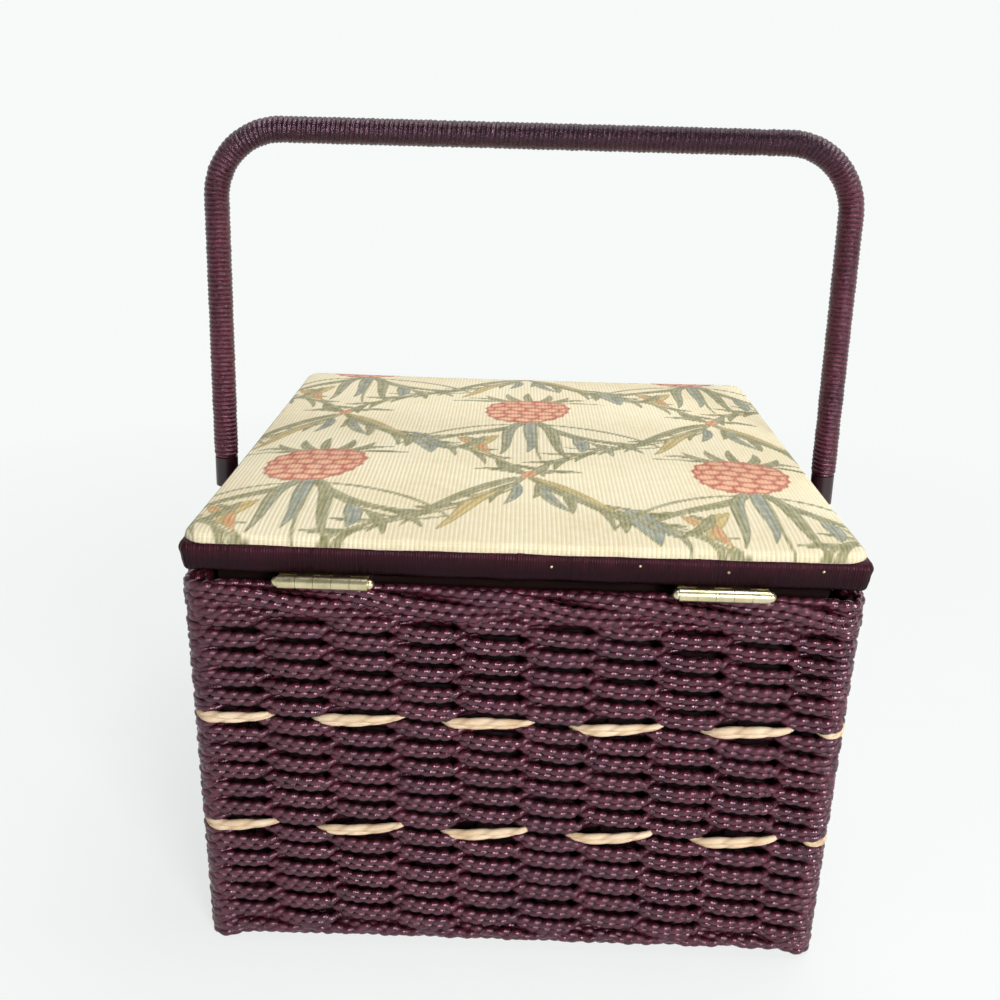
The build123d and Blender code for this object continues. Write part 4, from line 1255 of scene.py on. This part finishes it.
def build_cover():
    """The lid's tapestry over its foam: a padded top, an edge rolled over the rim, and sides and an
    underside that go down to the foam."""
    base = RIM_HIGH.z - EDGE_ROOM
    half = COVER_HIGH.x
    top = COVER_HIGH.z - 1.0 * MM
    reach = half - PAD_MARGIN
    points, faces = swollen((-half, -half, top - PAD_CORE), (half, half, top), CROWN, PAD_VOXEL,
                            lambda p: (p[:, 2] < top - 3 * MM) | (np.abs(p[:, :2]).max(1) > half - 4 * MM))
    heights = height_over(points, faces, reach, reach, 81)
    columns = RIBS * RIB_POINTS + 1
    ways = np.linspace(-CLOTH_OUT, CLOTH_OUT, columns), np.linspace(-CLOTH_OUT, CLOTH_OUT, CLOTH_ROWS)
    flat_x, flat_y = np.meshgrid(*ways, indexing="ij")
    masks = Loom(flat_x / MM, flat_y / MM).weave()
    x, y = square_to_rounded(flat_x, flat_y, CLOTH_OUT, CLOTH_CORNER)
    z = sample(heights, reach, reach, x * CLOTH_SHARE, y * CLOTH_SHARE)
    inside = np.clip(rounded_distance(x, y, CLOTH_OUT, CLOTH_CORNER), 0, None)
    rolled = roll_off(inside, CLOTH_ROLL)
    slack = SLACK * np.clip(1 - inside / SLACK_REACH, 0, 1) ** 2
    rib = np.where(np.arange(columns) % RIB_POINTS == 0, -1.0, 0.5)[:, None] * RIB_RELIEF
    yarn = np.clip(masks["leaf"] + masks["ochre"] + masks["berry"], 0, 1) - masks["line"]
    settled = blend(inside, 0, CLOTH_ROLL)
    z = z - rolled - slack + (rib + YARN_RELIEF * yarn) * settled
    pile = Pile()
    flat = np.stack([np.pad(way, ((0, 1), (0, 1)), mode="edge") for way in (flat_x, flat_y)], 2)
    pile.grid(np.stack([x, y, z], 2), uv=flat / (2 * CLOTH_OUT))
    ring = grid_edge(columns, CLOTH_ROWS)
    outline = pile.verts[0][ring]
    foam_side = FOAM_HIGH.x + 0.15 * MM
    for out, level in ((CLOTH_OUT - 0.5 * MM, outline[:, 2] - 0.8 * MM),
                       (CLOTH_OUT - 2.2 * MM, base + 0.25 * MM),
                       (half - EDGE_ROOM, base - 0.6 * MM), (half - EDGE_ROOM, COVER_LOW.z + EDGE_ROOM),
                       (foam_side, COVER_LOW.z + EDGE_ROOM),
                       (foam_side, FOAM_HIGH.z - FOAM_SLOPE + FOAM_ROOM),
                       (FOAM_HIGH.x - FOAM_SLOPE, FOAM_HIGH.z + FOAM_ROOM)):
        points = outline.copy()
        points[:, :2] *= out / CLOTH_OUT
        points[:, 2] = level
        ring = pile.skirt(ring, points)
    pile.cap(ring[0], len(ring), (0, 0, FOAM_HIGH.z + FOAM_ROOM))
    piece = finish_piece(pile, "tapestry_pad", tapestry_paint(), "tapestry", "lid", "tapestry_cover")
    spare = pile.count - columns * CLOTH_ROWS
    for name, mask in masks.items():
        layer = piece.data.attributes.new(name, "FLOAT", "POINT")
        layer.data.foreach_set("value", np.concatenate([mask.ravel(), np.zeros(spare)]).astype(np.float32))


build_cover()

# ------------------------------------------------------------ padded lining
TUFT_PITCH = 54 * MM
TUFT_HOLD = 3.5 * MM  # radius of cloth that a stitch holds down
GATHER_LENGTH = 5.2 * MM  # from one gather of the edge to the next
GATHER_DEPTH = 0.35 * MM
GATHER_REACH = 7 * MM
GATHER_KNOTS = 24  # places along an edge at which the gathers' spacing is drawn
LINING_STEP = 1.3 * MM
FLAT_FADE = 9 * MM  # over which the wadding flattens towards what is sewn to it


def uneven_along(places, low, high, draw, knots, most):
    """Random values of up to `most` either way, joined by straight lines from low to high."""
    return np.interp(places, np.linspace(low, high, knots), draw.uniform(-most, most, knots))


def tufted(width, length, cap, tufts, voxel=PAD_VOXEL, sewn=4.0 * MM):
    """Heights above a board of wadding blown up under cloth that is held at its edges and, where
    `tufts` is set, at rows of stitches."""
    def held(points):
        x, y = points[:, 0], points[:, 1]
        beyond = np.maximum(np.abs(x) - width / 2, np.abs(y) - length / 2)
        fixed = (points[:, 2] < -3 * MM) | (beyond > -sewn)
        if tufts:
            row = np.round(y / TUFT_PITCH)
            from_x = (x / TUFT_PITCH - 0.5 * (row % 2) + 0.5) % 1 - 0.5
            fixed |= np.hypot(from_x * TUFT_PITCH, y - row * TUFT_PITCH) < TUFT_HOLD
        return fixed
    corner = np.array((width / 2, length / 2))
    points, faces = swollen((*-corner, -PAD_CORE), (*corner, 0), cap, voxel, held)
    return height_over(points, faces, *(corner - PAD_MARGIN), 61)


def lining_pad(name, node, centre, across, up, size, heights, body, flat_spots=(), lift_over=6.0 * MM,
               roll=0.6, crown=0.0):
    """Closed satin pad on a board: `centre` is the middle of the board's back, `across` and `up` its
    directions, `size` its width, length and thickness. It stays flat in `flat_spots`, rises over
    `lift_over` from its edge and by `crown` in the middle, and `roll` is its edge's radius as a
    part of its thickness."""
    across, up, centre = np.array(across, float), np.array(up, float), np.array(centre, float)
    out = np.cross(across, up)
    width, length, depth = size
    columns, rows = int(width / LINING_STEP), int(length / LINING_STEP)
    x, y = np.meshgrid(np.linspace(-1, 1, columns) * width / 2,
                       np.linspace(-1, 1, rows) * length / 2, indexing="ij")
    inside_x, inside_y = width / 2 - np.abs(x), length / 2 - np.abs(y)
    inside = np.minimum(inside_x, inside_y)
    radius = depth * roll
    lift = sample(heights, width / 2 - PAD_MARGIN, length / 2 - PAD_MARGIN, x, y)
    lift = lift * blend(inside, 0, lift_over)
    lift = lift + crown * (1 - (2 * x / width) ** 2) * (1 - (2 * y / length) ** 2)
    for low_x, low_y, high_x, high_y in flat_spots:
        away = np.maximum(np.maximum(low_x - x, x - high_x), np.maximum(low_y - y, y - high_y))
        lift = lift * blend(away, 0, FLAT_FADE)
    draw = np.random.default_rng(len(name))
    drift_x = uneven_along(x[:, 0], -width / 2, width / 2, draw, GATHER_KNOTS, 1.6)[:, None]
    drift_y = uneven_along(y[0], -length / 2, length / 2, draw, GATHER_KNOTS, 1.6)[None, :]
    gathers = (np.sin(TAU * x / GATHER_LENGTH + drift_x) * np.exp(-inside_y / GATHER_REACH)
               + np.sin(TAU * y / GATHER_LENGTH + drift_y) * np.exp(-inside_x / GATHER_REACH))
    w = depth - roll_off(inside, radius) + lift + GATHER_DEPTH * gathers * blend(inside, 0, radius)
    points = centre + x[..., None] * across + y[..., None] * up + w[..., None] * out
    pile = Pile()
    pile.grid(points)
    edge = grid_edge(columns, rows)
    front = points.reshape(-1, 3)[edge]
    back = pile.skirt(edge, front - ((front - centre) @ out)[:, None] * out)
    pile.cap(back[0], len(back), centre)
    piece = finish_piece(pile, name, SATIN, "satin", body, node)


def middle_and_size(node):
    low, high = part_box(node)
    return (Vector(low) + Vector(high)) / 2, Vector(high) - Vector(low)


def build_lining():
    """Satin pads on the four walls, the base and the lid, and the pincushion."""
    east, up = (1, 0, 0), (0, 0, 1)
    middle, size = middle_and_size("rear_panel")
    wall = tufted(size.x, size.z, 3.0 * MM, True)
    for side, across, back in (("rear", east, (0, -PANEL_FACE)), ("front", (-1, 0, 0), (0, PANEL_FACE)),
                               ("left", (0, -1, 0), (-PANEL_FACE, 0)), ("right", (0, 1, 0), (PANEL_FACE, 0))):
        lining_pad(f"satin_{side}_panel", f"{side}_panel", (*back, middle.z), across, up,
                   (size.x, size.z, size.y), wall, "basket")
    middle, size = middle_and_size("base_pad")
    lining_pad("satin_base_pad", "base_pad", (0, 0, middle.z - size.z / 2), east, (0, 1, 0),
               tuple(size), tufted(size.x, size.y, 4.5 * MM, True), "basket")
    middle, size = middle_and_size("lid_lining")
    spots = [(low.x, -high.y, high.x, -low.y) for low, high in map(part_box, ("lid_pocket", "pincushion"))]
    lining_pad("satin_lid_lining", "lid_lining", (0, 0, middle.z + size.z / 2), east, (0, -1, 0),
               tuple(size), tufted(size.x, size.y, 3.2 * MM, True), "lid", spots)
    middle, size = middle_and_size("pincushion")
    heights = tufted(size.x, size.y, 7.0 * MM, False, 3.0 * MM, 1.5 * MM)
    lining_pad("stuffed_pincushion", "pincushion", (middle.x, middle.y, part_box("pincushion")[1].z), east,
               (0, -1, 0), tuple(size), heights, "lid", lift_over=20 * MM, roll=1.0, crown=5 * MM)


POCKET_FOLDS = 26
POCKET_HEM = 5 * MM
POCKET_CLOTH = 0.35 * MM
POCKET_SEAT = 0.4 * MM  # from the lining's face to the flattest part of the pocket
FOLD_DEPTH = 2.6 * MM
POCKET_BELLY = 3.0 * MM


def build_pocket():
    """Gathered pocket sewn to the lid lining on three sides; elastic in its hem draws the folds up."""
    low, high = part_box("lid_pocket")
    columns, rows = POCKET_FOLDS * 10 + 1, 26
    x, y = np.meshgrid(np.linspace(low.x, high.x, columns), np.linspace(low.y, high.y, rows), indexing="ij")
    up = (y - low.y) / (high.y - low.y)
    from_side = np.minimum(x - low.x, high.x - x)
    draw = np.random.default_rng(12)
    drift = uneven_along(x[:, 0], low.x, high.x, draw, 14, 1.2)[:, None]
    fold = 0.5 + 0.5 * np.sin(TAU * POCKET_FOLDS * (x - low.x) / (high.x - low.x) + drift)
    hem = blend(y, high.y - POCKET_HEM, high.y - POCKET_HEM + 1.5 * MM)
    free = blend(from_side, 0, 8 * MM)
    drop = (POCKET_SEAT + FOLD_DEPTH * fold * (0.25 + 0.75 * up) * free * (1 - 0.45 * hem)
            + POCKET_BELLY * free * np.sin(math.pi * up * 0.6))
    outer = np.stack([x, y, high.z - drop - POCKET_CLOTH], 2)
    inner = np.stack([x, y, high.z - drop], 2)
    pile = Pile()
    pile.tube(np.concatenate([outer, inner[:, ::-1]], 1))
    piece = finish_piece(pile, "gathered_lid_pocket", SATIN, "satin", "lid", "lid_pocket")


TAB_THICKNESS = 1.5 * MM
TAB_BEND = 2.4 * MM  # radius of its bend over the rim
TAB_STITCH = 2.6 * MM  # from one stitch to the next
TAB_INSET = 1.9 * MM
TAB_MARGIN = 0.4 * MM  # by which the tab is narrower than its box on each side
STITCH_RADIUS = 0.3 * MM
STITCH_RISE = 0.12 * MM


def build_tab():
    """Soft leatherette tab: it leaves the rim, bends down and hangs, with a row of stitches."""
    low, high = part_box("closure_tab")
    half = (high.x - low.x) / 2
    side = half - TAB_MARGIN
    level, face = high.z - TAB_THICKNESS / 2, high.y - TAB_THICKNESS / 2
    turn_y, turn_z = face - TAB_BEND, level - TAB_BEND
    path = [(low.y, level)] + [(turn_y + TAB_BEND * math.sin(a), turn_z + TAB_BEND * math.cos(a))
                               for a in np.linspace(0, math.pi / 2, 9)]
    path += [(face + 0.25 * MM * math.sin(math.pi * t), turn_z - t * (turn_z - low.z))
             for t in np.linspace(0.08, 1, 26)]
    path = np.array(path)
    ahead = unit(np.gradient(path, axis=0))
    out = np.stack([-ahead[:, 1], ahead[:, 0]], 1)
    from_end = np.clip(1 - (path[:, 1] - low.z) / half, 0, 1)
    width = np.maximum(side * np.sqrt(1 - from_end**2), 1.2 * MM)
    across = np.linspace(-1, 1, 17)
    edge = np.sqrt(np.clip(1 - np.abs(across) ** 10, 0.04, 1))
    under = -TAB_THICKNESS / 2 * edge
    upper = TAB_THICKNESS / 2 * edge * (1 + 0.08 * (1 - across**2))
    rings = []
    for centre, normal, reach in zip(path, out, width):
        faces = [np.stack([across * reach, centre[0] + normal[0] * off, centre[1] + normal[1] * off], 1)
                 for off in (upper, under)]
        rings.append(np.concatenate([faces[0], faces[1][::-1]]))
    pile = Pile()
    pile.tube(np.array(rings))
    travelled = distances(path)
    seam = path + out * (TAB_THICKNESS / 2 + STITCH_RISE)
    for hand in (-1, 1):
        for place in np.arange(TAB_BEND + 5 * MM, travelled[-1] - half, TAB_STITCH):
            start, stop = [np.array([np.interp(at, travelled, seam[:, k]) for k in (0, 1)])
                           for at in (place, place + TAB_STITCH * 0.7)]
            line = np.array([[hand * (side - TAB_INSET), *(start * (1 - t) + stop * t)]
                             for t in np.linspace(0, 1, 4)])
            cord_length(pile, line, STITCH_RADIUS, bead=1.0, lobe=0.0, sides=range(0, 360, 60))
    piece = finish_piece(pile, "stitched_tab", LEATHERETTE, "leatherette", "lid", "closure_tab")


build_lining()
build_pocket()
build_tab()


# ------------------------------------------------------------ hinge pins and screws
def lathe(pile, centre, axis, profile, sides=20):
    """Turned shape: `profile` holds (distance along the axis, radius) pairs."""
    axis = np.array(axis, float)
    side = np.cross(axis, (0, 0, 1)) if abs(axis[2]) < 0.9 else np.array([1.0, 0, 0])
    side = side / np.linalg.norm(side)
    around = circle(sides)[:, None]
    ring = np.cos(around) * side + np.sin(around) * np.cross(axis, side)
    pile.tube(np.array([np.array(centre) + along * axis + radius * ring for along, radius in profile]))


PIN_BALL = 1.95 * MM  # radius
SCREW_HEAD = 1.7 * MM  # radius
PIN_SUNK = 2.3 * MM  # how far inside the hinge's end a ball starts
SCREW_PLACES = (0.22, 0.78)  # along the hinge
SCREW_IN = 9.0 * MM  # from the foot's outer edge
SCREW_UP = 0.5 * MM  # above the border; the head's lower part is sunk in the leaf
SCREW_DOME = ((0.0, 1.0), (0.25, 1.0), (0.7, 0.75), (0.95, 0.3))  # mm up, and share of the radius


def build_hinge_trim():
    """Ball ends on the hinge pins, and the round heads of the hinge screws."""
    balls, screws = Pile(), Pile()
    for side in ("left", "right"):
        low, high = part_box(f"{side}_hinge_lower_leaf")
        knuckle = (high.z - low.z) / 2
        axis_y, axis_z = low.y + knuckle, low.z + knuckle
        bulge = [(PIN_BALL * (1 - math.cos(a)), PIN_BALL * math.sin(a))
                 for a in np.linspace(0.35, math.pi - 0.15, 9)]
        for hand, end in ((-1, low.x), (1, high.x)):
            lathe(balls, (end - hand * PIN_SUNK, axis_y, axis_z), (hand, 0, 0), bulge)
        for place in SCREW_PLACES:
            spot = (low.x + place * (high.x - low.x), -FLOOR_HIGH.y + SCREW_IN, BORDER_HIGH.z + SCREW_UP)
            lathe(screws, spot, (0, 0, 1), [(rise * MM, SCREW_HEAD * share) for rise, share in SCREW_DOME])
    finish_piece(balls, "hinge_pin_balls", BRASS, "brass", "basket")
    finish_piece(screws, "hinge_screws", BRASS, "brass", "basket")


build_hinge_trim()


# Outline of the press stud, in mm: distance out from its box's back, and radius
STUD_PROFILE = ((-1.5, 5.4), (0.9, 5.9), (1.35, 5.8), (1.65, 5.2), (1.7, 3.4), (1.5, 2.4), (2.3, 2.1),
                (2.9, 2.3), (3.3, 2.2), (3.6, 1.7), (3.75, 0.8))


def build_stud():
    """Lower half of the press fastener: a flange over the border's cords, and a necked ball."""
    low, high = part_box("snap_stud")
    middle = ((low.x + high.x) / 2, low.y, (low.z + high.z) / 2)
    pile = Pile()
    lathe(pile, middle, (0, 1, 0), [(along * MM, radius * MM) for along, radius in STUD_PROFILE], sides=36)
    finish_piece(pile, "press_stud", BRASS, "brass", "basket", "snap_stud")


# Pins whose pale heads show through the wound thread on the hinge side of the rim
RIM_PINS = (-97, 10, 42, 74, 108)  # mm from the middle
RIM_PIN_DROP = 3.6 * MM  # below the rim's top, and every second one a little more
RIM_PIN_STAGGER = 1.4 * MM
RIM_PIN_SUNK = 0.2 * MM
PIN_DOME = ((0.0, 0.55), (0.2, 0.5), (0.32, 0.25))  # mm out, and radius in mm


def build_rim_pins():
    pile = Pile()
    for k, place in enumerate(RIM_PINS):
        spot = (place * MM, RIM_LOW.y + RIM_PIN_SUNK, RIM_HIGH.z - RIM_PIN_DROP - (k % 2) * RIM_PIN_STAGGER)
        lathe(pile, spot, (0, -1, 0), [(out * MM, radius * MM) for out, radius in PIN_DOME], sides=12)
    finish_piece(pile, "rim_pins", BRASS, "brass", "lid")


build_stud()
build_rim_pins()

# ------------------------------------------------------------ bail handle
BAIL_BEND = 30.0 * MM
BEND_STEPS = 40
BAIL_LEAN = 0.028  # how far the legs lean in, as a part of their height
BAIL_SIDES = 28
BAIL_ROOM = 0.3 * MM  # from the CAD bail's foot to the winding's end
TURN_PITCH = 2.05 * MM
TURN_RISE = 0.42 * MM
TURN_STEPS = 6
TURN_UNEVEN = 0.07 * MM
END_TAPER, END_LENGTH = 0.9 * MM, 2.2 * MM  # by how much and over what length the winding's ends thin


def bail_route():
    """Centre line of the bail from the left foot to the right, and the bail's radius."""
    radius = (BAIL_HIGH.y - BAIL_LOW.y) / 2
    top = BAIL_HIGH.z - radius
    foot = BAIL_LOW.z + BAIL_ROOM
    foot_x = BAIL_HIGH.x - radius
    shoulder_x = foot_x - BAIL_LEAN * (top - foot)
    corners = [Vector((-foot_x, 0, foot)), Vector((-shoulder_x, 0, top)),
               Vector((shoulder_x, 0, top)), Vector((foot_x, 0, foot))]
    route = [corners[0]]
    for before, corner, after in zip(corners, corners[1:], corners[2:]):
        inward, onward = (corner - before).normalized(), (after - corner).normalized()
        turn = inward.angle(onward)
        setback = BAIL_BEND * math.tan(turn / 2)
        centre = corner + (onward - inward).normalized() * BAIL_BEND / math.cos(turn / 2)
        spoke = corner - inward * setback - centre
        for step in range(BEND_STEPS + 1):
            swing = Quaternion((0, 1, 0), turn * step / BEND_STEPS)
            route.append(centre + swing @ spoke)
    route.append(corners[-1])
    return np.array([tuple(point) for point in route]), radius


def resample(points, step):
    """Points at even steps of about `step` along a line, and their distances along it."""
    travelled = distances(points)
    count = max(2, int(travelled[-1] / step))
    places = np.linspace(0, travelled[-1], count + 1)
    return np.stack([np.interp(places, travelled, points[:, axis]) for axis in range(3)], 1), places


def build_bail():
    """Cord wound round the bail in a close helix."""
    corners, radius = bail_route()
    centres, places = resample(corners, TURN_PITCH / TURN_STEPS)
    along = unit(np.gradient(centres, axis=0))
    side = np.array([0.0, 1.0, 0.0])
    out = unit(np.cross(along, side))
    angle = circle(BAIL_SIDES)
    phase = places[:, None] / TURN_PITCH + angle[None, :] / TAU
    swell = np.abs(np.sin(math.pi * phase)) ** 0.8
    draw = np.random.default_rng(9)
    wobble = np.interp(places / TURN_PITCH, np.arange(400), draw.normal(0, TURN_UNEVEN, 400))
    size = radius - TURN_RISE + TURN_RISE * swell + wobble[:, None]
    ends = np.minimum(places, places[-1] - places)
    size = size - END_TAPER * np.clip(1 - ends / END_LENGTH, 0, 1)[:, None] ** 2
    rings = (centres[:, None, :]
             + size[..., None] * (np.cos(angle)[None, :, None] * side[None, None, :]
                                  + np.sin(angle)[None, :, None] * out[:, None, :]))
    uv = uv_grid(np.concatenate([places, places[-1:]]) / TURN_PITCH, np.arange(BAIL_SIDES + 1) / BAIL_SIDES)
    pile = Pile()
    pile.tube(rings, uv, (centres[0], centres[-1]))
    finish_piece(pile, "wound_bail", WINDING, "winding", "handle", "handle_bail")


build_bail()


# ------------------------------------------------------------ studio
def camera_turn():
    """The camera looks along +y, then pitches down, yaws and rolls."""
    level = Quaternion((1, 0, 0), math.pi / 2 - CAMERA_PITCH)
    yaw = Quaternion((0, 0, 1), -CAMERA_YAW)
    roll = Quaternion((0, 0, 1), CAMERA_ROLL)
    return yaw @ level @ roll


def build_camera():
    data = bpy.data.cameras.new("camera")
    data.lens = CAMERA_LENS
    data.sensor_width = CAMERA_SENSOR
    data.sensor_fit = "HORIZONTAL"
    data.clip_start = 0.01
    camera = add_object("camera", data)
    camera.location = CAMERA_PLACE
    camera.rotation_mode = "QUATERNION"
    camera.rotation_quaternion = camera_turn()
    bpy.context.scene.camera = camera


# Square lamps: name, place, height of the point on the axis that it faces, size in metres and watts
LAMPS = (("key", (0.75, -1.45, 0.75), 0.12, 0.5, 26),
         ("fill", (-1.1, -0.9, 0.9), 0.12, 0.9, 1.5),
         ("top", (0.3, 0.1, 1.4), 0.15, 0.7, 12))


def build_lamps():
    for name, place, target, size, power in LAMPS:
        data = bpy.data.lights.new(name, "AREA")
        data.shape = "RECTANGLE"
        data.size = data.size_y = size
        data.energy = power
        lamp = add_object(name, data)
        lamp.location = place
        lamp.rotation_mode = "QUATERNION"
        lamp.rotation_quaternion = (Vector((0, 0, target)) - Vector(place)).to_track_quat("-Z", "Y")


def build_world():
    world = bpy.data.worlds.new("studio")
    bpy.context.scene.world = world
    world.use_nodes = True
    sky = world.node_tree.nodes["Background"]
    sky.inputs["Color"].default_value = (0.97, 0.98, 1.0, 1)
    sky.inputs["Strength"].default_value = WORLD_STRENGTH


def studio_paint(name, near, far):
    """Pale card that glows in the background's colour for camera, glossy and transmission rays:
    partly up to `near` metres from its middle, and fully from `far` on."""
    paint = Paint(name)
    x, y = paint.axes(paint.coordinates())[:2]
    distance = paint.math("SQRT", paint.math("MULTIPLY_ADD", x, x, paint.math("MULTIPLY", y, y)))
    rays = paint.node("ShaderNodeLightPath").outputs
    seen = paint.math("MAXIMUM", rays["Is Camera Ray"], rays["Is Glossy Ray"])
    seen = paint.math("MAXIMUM", seen, rays["Is Transmission Ray"])
    glow = paint.node("ShaderNodeEmission")
    glow.inputs["Color"].default_value = (*BACKGROUND, 1)
    grain = paint.noise(30.0, 2.0)
    paint.set(Base_Color=paint.tones(grain, (0.86, 0.87, 0.865), (0.88, 0.89, 0.885)),
              Roughness=0.8, Specular_IOR_Level=0.1)
    share = paint.math("MULTIPLY", paint.remap(distance, near, far, FLOOR_GLOW, 1.0), seen)
    choose = paint.node("ShaderNodeMixShader")
    for socket, value in zip(choose.inputs, (share, paint.shader.outputs[0], glow.outputs[0])):
        paint.feed(socket, value)
    paint.feed(paint.tree.nodes["Material Output"].inputs[0], choose.outputs[0])
    return paint.material


def card(name, corners, material):
    mesh = bpy.data.meshes.new(name)
    mesh.from_pydata(corners, [], [(0, 1, 2, 3)])
    mesh.materials.append(material)
    add_object(name, mesh)


def upright_card(name, start, stop, rise, material):
    card(name, [(*start, CARD_FOOT), (*stop, CARD_FOOT), (*stop, rise), (*start, rise)], material)


def build_room():
    """Floor, a backdrop behind the basket, and lower cards on the other sides."""
    card("floor", [(-ROOM, -ROOM, 0), (ROOM, -ROOM, 0), (ROOM, ROOM, 0), (-ROOM, ROOM, 0)],
         studio_paint("studio_floor", 0.22, 0.75))
    upright_card("backdrop", (-ROOM, BACKDROP_Y), (ROOM, BACKDROP_Y), ROOM,
                 studio_paint("studio_backdrop", 0.1, 0.2))
    material = studio_paint("studio_walls", 0.1, 0.2)
    corners = ((ROOM, BACKDROP_Y), (ROOM, -ROOM), (-ROOM, -ROOM), (-ROOM, BACKDROP_Y))
    for k, (start, stop) in enumerate(zip(corners[:-1], corners[1:])):
        upright_card(f"wall_{k}", start, stop, WALL_RISE, material)


build_camera()
build_world()
build_room()
build_lamps()
bpy.context.scene.view_settings.view_transform = "Standard"
